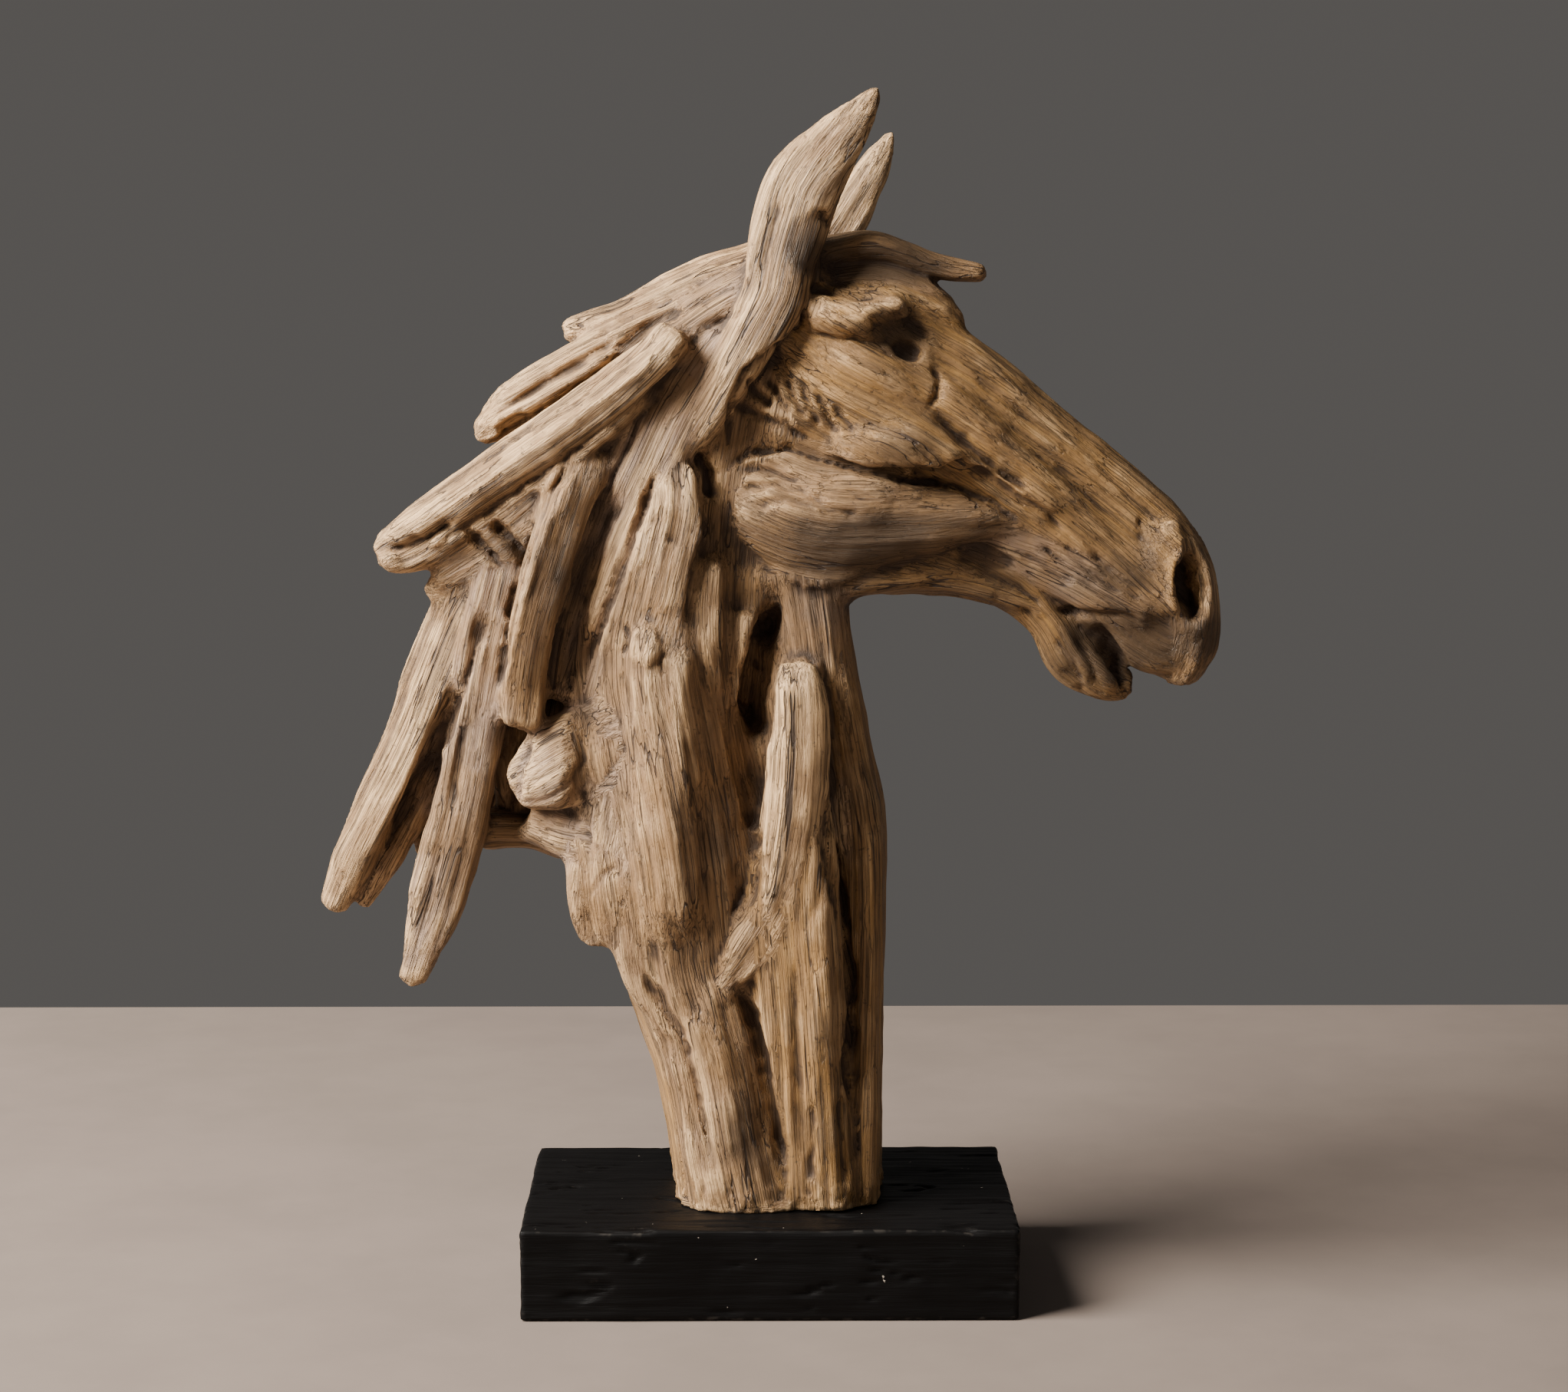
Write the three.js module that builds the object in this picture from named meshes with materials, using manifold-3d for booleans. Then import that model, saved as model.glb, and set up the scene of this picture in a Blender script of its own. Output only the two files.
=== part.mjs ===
// Driftwood horse head on a low black block.
// Millimetres, +Z up. The horse looks along +X and its near side faces -Y.
// The origin is the middle of the block's underside.
import * as THREE from 'three';
import Module from 'manifold-3d';
import { mergeVertices } from 'three/addons/utils/BufferGeometryUtils.js';

// Driving dimensions of the block
const BLOCK_WIDTH = 218;
const BLOCK_DEPTH = 140;
const BLOCK_HEIGHT = 41;
const BLOCK_CORNER = 4;
const BLOCK_EDGE = 2;
const BLOCK_ARC_STEPS = 2;

// Driving dimensions of the head
const EAR_TIP = 530;
const FOOT = BLOCK_HEIGHT;
const FOOT_TRIM = 12;
const TWIN_SHIFT = -3;

// How finely a limb is divided
const SLIM_SIDES = 5;
const STICK_SIDES = 6;
const MASS_SIDES = 10;
const SLIM_BELOW = 11;
const STICK_BELOW = 24;
const ROWS_PER_SPAN = 1;
const END_ROUNDING = 0.7;
const FIRST_ROW = 0.3;
const LONGEST_END = 0.2;

// A limb is a list of stations along its middle line. Each station is
// [x, y, z, half width seen from the side, half depth towards the viewer].

// Masses on the middle plane, from the muzzle back to the foot of the neck
const MASSES = {
  skull: [[2, 0, 432, 22, 26], [34, 0, 412, 38, 36], [73, 0, 391, 36, 32],
    [111, 0, 365, 32, 25], [145, 0, 340, 30, 21], [170, 0, 318, 27, 21], [188, 0, 302, 12, 14]],
  poll: [[-8, 0, 438, 20, 22], [8, 0, 449, 17, 25], [30, 0, 452, 14, 20]],
  muzzle: [[177, 0, 344, 8, 12], [183, 0, 322, 13, 20], [186, 0, 300, 14, 21],
    [184, 0, 284, 13, 18], [180, 0, 270, 8, 12]],
  upperLip: [[138, 0, 314, 12, 17], [154, 0, 302, 14, 18], [172, 0, 290, 15, 18],
    [188, 0, 284, 9, 14]],
  lowerJaw: [[10, 0, 350, 28, 26], [45, 0, 338, 27, 25], [80, 0, 330, 21, 19],
    [106, 0, 318, 15, 15], [128, 0, 299, 11, 14], [141, 0, 279, 14, 14], [160, 0, 266, 7, 10]],
  neckCore: [[6, 0, FOOT - FOOT_TRIM, 42, 34], [5, 0, 80, 42, 34], [0, 0, 120, 44, 34],
    [-10, 0, 165, 52, 35], [-17, 0, 210, 54, 36], [-22, 0, 255, 50, 36], [-24, 0, 300, 46, 34],
    [-22, 0, 345, 40, 32], [-15, 0, 390, 34, 30], [-5, 0, 430, 22, 24]],
  maneCore: [[-8, 0, 432, 22, 24], [-45, 0, 397, 25, 24], [-75, 0, 352, 28, 24],
    [-95, 0, 300, 24, 20], [-106, 0, 250, 20, 15], [-106, 0, 214, 14, 12]],
  frontColumn: [[28, -2, 314, 7, 18], [26, -2, 284, 12, 24], [32, -2, 245, 13, 26],
    [38, -2, 210, 14, 27], [39, -2, 165, 13, 28], [38, -2, 120, 13, 29], [37, -2, 80, 14, 30],
    [36, -2, FOOT - FOOT_TRIM, 15, 30]],
};

// Single sticks and plates that lie on or near the middle plane
const SINGLE_STICKS = {
  forelock: [[20, -4, 461, 9, 15], [45, -5, 464, 7, 15], [60, -6, 461, 7, 13],
    [75, -7, 455, 6, 10], [95, -8, 450, 4, 6]],
  forehead: [[26, -6, 438, 9, 20], [48, -5, 440, 9, 20], [72, -4, 436, 8, 17]],
  crest: [[0, 0, 455, 12, 16], [-22, 0, 449, 11, 15], [-45, 0, 439, 10, 13],
    [-70, 0, 429, 8, 11], [-91, 0, 426, 5, 7]],
  upperManePlank: [[-20, -10, 436, 12, 14], [-55, -12, 421, 13, 13], [-85, -13, 406, 13, 11],
    [-108, -13, 393, 13, 10], [-128, -12, 381, 4, 5]],
  webUnderMane: [[-130, -8, 206, 9, 10], [-108, -8, 206, 8, 10], [-86, -8, 202, 10, 12]],
  maneSliver: [[-134, -10, 272, 8, 7], [-150, -10, 234, 9, 7], [-163, -10, 206, 7, 6],
    [-182, -11, 171, 3, 4]],
  maneBack: [[-122, -2, 300, 16, 9], [-136, -2, 250, 14, 8], [-147, -2, 215, 10, 6],
    [-156, -2, 192, 4, 4]],
  underManeStick: [[-84, -22, 372, 10, 9], [-116, -22, 342, 12, 9], [-144, -21, 320, 6, 6]],
};

// Sticks of the near side only: the ear, the mane, the branch stub and the throat
const NEAR_STICKS = {
  nearEar: [[7, -22, 444, 15, 11], [9, -24, 470, 17, 10], [15, -26, 488, 16, 9],
    [27, -27, 504, 12, 8], [38, -28, 518, 8, 6], [47, -28, EAR_TIP, 2, 2]],
  longManeStick: [[-42, -26, 422, 9, 9], [-70, -27, 400, 12, 9], [-97, -27, 378, 12, 10],
    [-125, -26, 357, 12, 10], [-150, -25, 338, 12, 9], [-170, -24, 328, 7, 6]],
  curvedManeStick: [[-38, -36, 428, 6, 6], [-52, -38, 400, 10, 9], [-72, -38, 368, 12, 10],
    [-90, -37, 332, 11, 10], [-101, -36, 296, 10, 9], [-106, -35, 255, 8, 8]],
  paleNub: [[-118, -20, 321, 7, 6], [-150, -20, 314, 5, 5]],
  paleManeStick: [[-118, -16, 330, 10, 9], [-136, -18, 303, 10, 8], [-149, -19, 274, 12, 8],
    [-158, -19, 250, 11, 7], [-172, -18, 222, 9, 7], [-184, -17, 197, 8, 6], [-195, -17, 170, 5, 5]],
  lowManeStick: [[-110, -18, 330, 14, 12], [-122, -20, 290, 15, 12], [-130, -21, 250, 14, 11],
    [-138, -22, 215, 13, 10], [-147, -22, 180, 13, 9], [-159, -22, 139, 6, 6]],
  branchStub: [[-74, -24, 246, 12, 11], [-96, -29, 233, 16, 12], [-113, -27, 222, 8, 7]],
  neckRidge: [[-24, -34, 330, 4, 5], [-27, -35, 300, 8, 7], [-26, -36, 270, 9, 8],
    [-18, -35, 235, 12, 8], [-15, -34, 200, 10, 7], [-22, -32, 160, 7, 6]],
  throatBlock: [[14, -24, 324, 13, 9], [17, -24, 302, 16, 9], [16, -24, 281, 13, 8]],
};

// Plainer sticks of the far side's ear and mane
const FAR_STICKS = {
  farEar: [[14, 21, 448, 14, 10], [29, 23, 470, 12, 9], [40, 25, 487, 9, 7],
    [48, 26, 500, 7, 6], [55, 27, 515, 2, 2]],
  farLongStick: [[-40, 26, 418, 10, 9], [-80, 27, 388, 12, 10], [-120, 25, 358, 11, 9],
    [-146, 23, 339, 6, 6]],
  farCurvedStick: [[-46, 35, 408, 9, 9], [-70, 37, 365, 12, 10], [-90, 36, 320, 12, 10],
    [-104, 34, 262, 8, 8]],
  farWideStick: [[-110, 18, 335, 12, 9], [-130, 20, 295, 12, 9], [-144, 20, 255, 11, 8],
    [-157, 19, 222, 7, 6]],
  farLowStick: [[-100, 22, 330, 14, 11], [-115, 24, 280, 14, 11], [-127, 23, 235, 12, 10],
    [-139, 21, 192, 7, 6]],
};

// Plates of the face, the same on both sides
const FACE_PAIRS = {
  cheek: [[-16, -18, 357, 20, 14], [10, -20, 350, 28, 17], [40, -20, 350, 25, 16],
    [68, -15, 352, 14, 12]],
  jawPlate: [[-15, -30, 359, 11, 8], [10, -32, 349, 23, 9], [30, -32, 346, 21, 9],
    [55, -29, 345, 16, 8], [80, -24, 345, 11, 7], [108, -19, 345, 4, 5]],
  upperCheek: [[26, -28, 379, 8, 8], [55, -30, 380, 12, 9], [75, -27, 376, 9, 8],
    [92, -24, 372, 4, 5]],
  brow: [[14, -26, 437, 5, 7], [38, -31, 432, 8, 8], [58, -31, 430, 8, 8], [75, -27, 428, 5, 6]],
  noseRidge: [[74, -27, 402, 8, 7], [94, -24, 385, 8, 7], [114, -21, 369, 8, 6],
    [134, -18, 353, 6, 5]],
  lipMuscle: [[94, -16, 338, 8, 7], [124, -16, 327, 12, 7], [150, -17, 313, 12, 7],
    [168, -17, 303, 7, 6]],
};

// Planks of the neck, with a shifted twin on the far side
const NECK_PAIRS = {
  earStrap: [[6, -27, 456, 13, 9], [3, -30, 443, 13, 9], [-5, -31, 428, 12, 9],
    [-15, -32, 410, 9, 8], [-25, -32, 393, 8, 7], [-37, -31, 373, 5, 5]],
  neckPlank: [[-42, -28, 371, 8, 7], [-42, -32, 350, 13, 8], [-49, -33, 320, 19, 9],
    [-56, -34, 285, 23, 10], [-50, -35, 245, 36, 10], [-44, -35, 205, 37, 10],
    [-42, -33, 172, 30, 9], [-34, -31, 138, 14, 7]],
  neckLobe: [[-56, -16, 238, 22, 14], [-66, -18, 205, 20, 15], [-72, -18, 180, 17, 14],
    [-73, -16, 157, 9, 9]],
  throatStick: [[12, -36, 285, 8, 8], [13, -38, 262, 12, 9], [12, -38, 232, 14, 9],
    [9, -38, 205, 14, 9], [4, -38, 180, 13, 9], [-8, -37, 158, 10, 8], [-21, -35, 138, 5, 5]],
  lowerColumn: [[18, -30, 236, 8, 8], [18, -32, 190, 14, 9], [18, -32, 140, 16, 9],
    [19, -32, 90, 18, 9], [21, -32, FOOT - FOOT_TRIM, 19, 9]],
  leftColumn: [[-52, -18, 152, 9, 9], [-38, -22, 120, 15, 12], [-30, -25, 90, 16, 13],
    [-24, -27, 60, 18, 13], [-20, -28, FOOT - FOOT_TRIM, 20, 13]],
  maneRoot: [[-43, -24, 378, 9, 8], [-62, -24, 342, 12, 9], [-76, -24, 308, 12, 10],
    [-89, -24, 266, 11, 9]],
};

// Hollows: the middle [x, y, z], the three half sizes and the lean in degrees about Y
const HOLLOW_PAIRS = {
  eye: { middle: [59, -38, 418], half: [8, 11, 6], lean: 0 },
  nostril: { middle: [187, -20, 315], half: [6, 12, 13], lean: 8 },
  mouthCorner: { middle: [146, -14, 292], half: [10, 16, 4], lean: 38 },
};
const STICK_END_HOLLOW = { middle: [-160, -30, 330], half: [11, 8, 5], lean: -30 };
const MOUTH_SLOT = { middle: [161, 0, 280], half: [14, 26, 4], lean: 32 };
const HOLLOW_SIDES = 12;
const HOLLOW_ROWS = 8;

const wasm = await Module();
wasm.setup();

// Turns a closed three.js geometry into a solid that can be joined and cut.
function solidFrom(geometry) {
  geometry.deleteAttribute('normal');
  geometry.deleteAttribute('uv');
  const merged = mergeVertices(geometry);
  return new wasm.Manifold(new wasm.Mesh({
    numProp: 3,
    vertProperties: new Float32Array(merged.attributes.position.array),
    triVerts: new Uint32Array(merged.index.array),
  }));
}

// Turns a joined solid back into a three.js geometry.
function geometryFrom(solid) {
  const mesh = solid.getMesh();
  const geometry = new THREE.BufferGeometry();
  geometry.setAttribute('position', new THREE.BufferAttribute(mesh.vertProperties, 3));
  geometry.setIndex(new THREE.BufferAttribute(mesh.triVerts, 1));
  geometry.computeVertexNormals();
  return geometry;
}

// The outer skin of a joined solid, with the small voids between its limbs filled.
function outerBody(solid) {
  return solid.decompose().reduce((largest, piece) => (
    piece.volume() > largest.volume() ? piece : largest));
}

// The share of a limb's full section at t, rounded off over each end's share of its length.
function endScale(t, firstEnd, lastEnd) {
  const inFirst = Math.min(t / firstEnd, 1);
  const inLast = Math.min((1 - t) / lastEnd, 1);
  const inside = Math.min(inFirst, inLast);
  return Math.sqrt(Math.max(0, 1 - (1 - inside) ** 2));
}

// A tapered limb with an oval section that follows its stations, with round ends.
function limbSolid(stations) {
  const widest = Math.max(...stations.map((station) => station[3]));
  const slimOrStick = widest < SLIM_BELOW ? SLIM_SIDES : STICK_SIDES;
  const sides = widest < STICK_BELOW ? slimOrStick : MASS_SIDES;
  const path = new THREE.CatmullRomCurve3(
    stations.map(([x, y, z]) => new THREE.Vector3(x, y, z)), false, 'catmullrom');
  const sizes = new THREE.CatmullRomCurve3(
    stations.map((station) => new THREE.Vector3(station[3], station[4], 0)), false, 'catmullrom');
  const length = path.getLength();
  const endShare = (station) => Math.min(LONGEST_END, END_ROUNDING * station[3] / length);
  const firstEnd = endShare(stations[0]);
  const lastEnd = endShare(stations[stations.length - 1]);
  const rows = ROWS_PER_SPAN * (stations.length - 1) + 4;

  const rowPlace = (row) => {
    if (row === 0) return 0;
    if (row === 1) return FIRST_ROW * firstEnd;
    if (row === rows - 1) return 1 - FIRST_ROW * lastEnd;
    if (row === rows) return 1;
    return THREE.MathUtils.lerp(firstEnd, 1 - lastEnd, (row - 2) / (rows - 4));
  };

  const geometry = new THREE.SphereGeometry(1, sides, rows);
  const position = geometry.attributes.position;
  const depthAxis = new THREE.Vector3(0, 1, 0);
  const point = new THREE.Vector3();
  for (let i = 0; i < position.count; i += 1) {
    point.fromBufferAttribute(position, i);
    const row = Math.round(rows * Math.acos(THREE.MathUtils.clamp(point.y, -1, 1)) / Math.PI);
    const t = rowPlace(row);
    const along = path.getTangent(t);
    const across = new THREE.Vector3().crossVectors(depthAxis, along).normalize();
    const towards = new THREE.Vector3().crossVectors(along, across);
    const size = sizes.getPoint(t);
    const ring = Math.max(Math.hypot(point.x, point.z), 1e-9);
    const scale = endScale(t, firstEnd, lastEnd) / ring;
    const placed = path.getPoint(t)
      .addScaledVector(across, size.x * scale * point.x)
      .addScaledVector(towards, size.y * scale * point.z);
    position.setXYZ(i, placed.x, placed.y, placed.z);
  }
  return solidFrom(geometry);
}

// An egg-shaped hollow.
function hollowSolid({ middle, half, lean }) {
  const geometry = new THREE.SphereGeometry(1, HOLLOW_SIDES, HOLLOW_ROWS);
  geometry.scale(...half);
  geometry.rotateY(THREE.MathUtils.degToRad(lean));
  geometry.translate(...middle);
  return solidFrom(geometry);
}

// The same stations on the far side, moved along the neck by a small shift.
function mirrored(stations, shift = 0) {
  return stations.map(([x, y, z, halfWidth, halfDepth]) => [x + shift, -y, z, halfWidth, halfDepth]);
}

function mirroredHollow(hollow) {
  const [x, y, z] = hollow.middle;
  return { ...hollow, middle: [x, -y, z] };
}

// The head and neck: every limb joined, the hollows cut, and the foot cut flat.
function horseHead() {
  const limbs = [
    ...Object.values(MASSES),
    ...Object.values(SINGLE_STICKS),
    ...Object.values(NEAR_STICKS),
    ...Object.values(FAR_STICKS),
    ...Object.values(FACE_PAIRS).flatMap((stations) => [stations, mirrored(stations)]),
    ...Object.values(NECK_PAIRS).flatMap((stations) => [stations, mirrored(stations, TWIN_SHIFT)]),
  ].map(limbSolid);
  const hollows = [
    ...Object.values(HOLLOW_PAIRS).flatMap((hollow) => [hollow, mirroredHollow(hollow)]),
    STICK_END_HOLLOW,
    MOUTH_SLOT,
  ].map(hollowSolid);
  const below = new THREE.BoxGeometry(BLOCK_WIDTH, BLOCK_DEPTH, FOOT);
  below.translate(0, 0, FOOT / 2);

  const joined = outerBody(limbs.reduce((grown, limb) => grown.add(limb)));
  const hollowed = hollows.reduce((cut, hollow) => cut.subtract(hollow), joined);
  return geometryFrom(outerBody(hollowed.subtract(solidFrom(below))));
}

// The block: a rounded rectangle raised to its height, with its edges broken.
function baseBlock() {
  const x = BLOCK_WIDTH / 2 - BLOCK_EDGE;
  const y = BLOCK_DEPTH / 2 - BLOCK_EDGE;
  const r = BLOCK_CORNER;
  const outline = new THREE.Shape();
  outline.absarc(x - r, y - r, r, 0, Math.PI / 2);
  outline.absarc(r - x, y - r, r, Math.PI / 2, Math.PI);
  outline.absarc(r - x, r - y, r, Math.PI, 1.5 * Math.PI);
  outline.absarc(x - r, r - y, r, 1.5 * Math.PI, 2 * Math.PI);
  outline.closePath();
  const geometry = new THREE.ExtrudeGeometry(outline, {
    depth: BLOCK_HEIGHT - 2 * BLOCK_EDGE,
    bevelThickness: BLOCK_EDGE,
    bevelSize: BLOCK_EDGE,
    bevelSegments: 1,
    curveSegments: BLOCK_ARC_STEPS,
  });
  geometry.translate(0, 0, BLOCK_EDGE);
  return geometry;
}

function namedMesh(name, geometry, look) {
  const mesh = new THREE.Mesh(geometry, new THREE.MeshStandardMaterial(look));
  mesh.name = name;
  return mesh;
}

const sculpture = new THREE.Group();
sculpture.add(
  namedMesh('horse_head', horseHead(), { color: '#967855', roughness: 0.75, metalness: 0 }),
  namedMesh('base_block', baseBlock(), { color: '#141212', roughness: 0.45, metalness: 0 }),
);

export default sculpture;
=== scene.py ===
"""Builds a weathered driftwood horse head on a low black block, with a plain stage around it."""

import itertools
import math
from collections import namedtuple

import bmesh
import bpy
import numpy as np
from bpy.props import FloatProperty, FloatVectorProperty, PointerProperty
from mathutils.kdtree import KDTree
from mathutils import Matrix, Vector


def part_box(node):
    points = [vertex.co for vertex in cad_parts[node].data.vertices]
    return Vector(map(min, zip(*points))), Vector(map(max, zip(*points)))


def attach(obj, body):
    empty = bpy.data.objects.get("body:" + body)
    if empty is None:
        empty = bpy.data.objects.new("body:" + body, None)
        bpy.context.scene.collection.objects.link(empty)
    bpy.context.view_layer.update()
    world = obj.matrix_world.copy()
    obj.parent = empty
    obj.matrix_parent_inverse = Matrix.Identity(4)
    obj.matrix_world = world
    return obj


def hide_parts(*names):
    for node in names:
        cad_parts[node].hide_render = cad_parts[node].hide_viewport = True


bl_info = {
    "name": "Driftwood Horse Head",
    "version": (1, 0, 0),
    "blender": (4, 5, 0),
    "location": "View3D > Sidebar > Driftwood",
    "description": "Builds a weathered driftwood horse head on a low black block",
    "category": "Add Mesh",
}

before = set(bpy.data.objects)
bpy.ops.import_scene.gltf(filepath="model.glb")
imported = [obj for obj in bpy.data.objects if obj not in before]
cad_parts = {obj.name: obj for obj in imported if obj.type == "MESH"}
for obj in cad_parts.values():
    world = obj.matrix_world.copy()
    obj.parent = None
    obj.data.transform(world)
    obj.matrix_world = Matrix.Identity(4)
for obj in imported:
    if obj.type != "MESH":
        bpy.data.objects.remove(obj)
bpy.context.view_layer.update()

MM = 0.001
BLOCK_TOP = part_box("base_block")[1].z / MM
BLOCK_HALF = [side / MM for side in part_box("base_block")[1]]
FOOT_SINK = 12
FOOT = BLOCK_TOP - FOOT_SINK

# Where the front view that the drawn lines follow is taken from
VIEW_DISTANCE = 1442
VIEW_MIDDLE = (-5, 449)

# Limbs of the head
# A limb is a list of stations along its middle line, in millimetres. Each station is
# (x, y, z, half width seen from the side, half depth towards the viewer).
# Its side says where it lies: middle, near, far, both (mirrored) or twin (mirrored and shifted).

Limb = namedtuple("Limb", "side tone stations")

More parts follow.
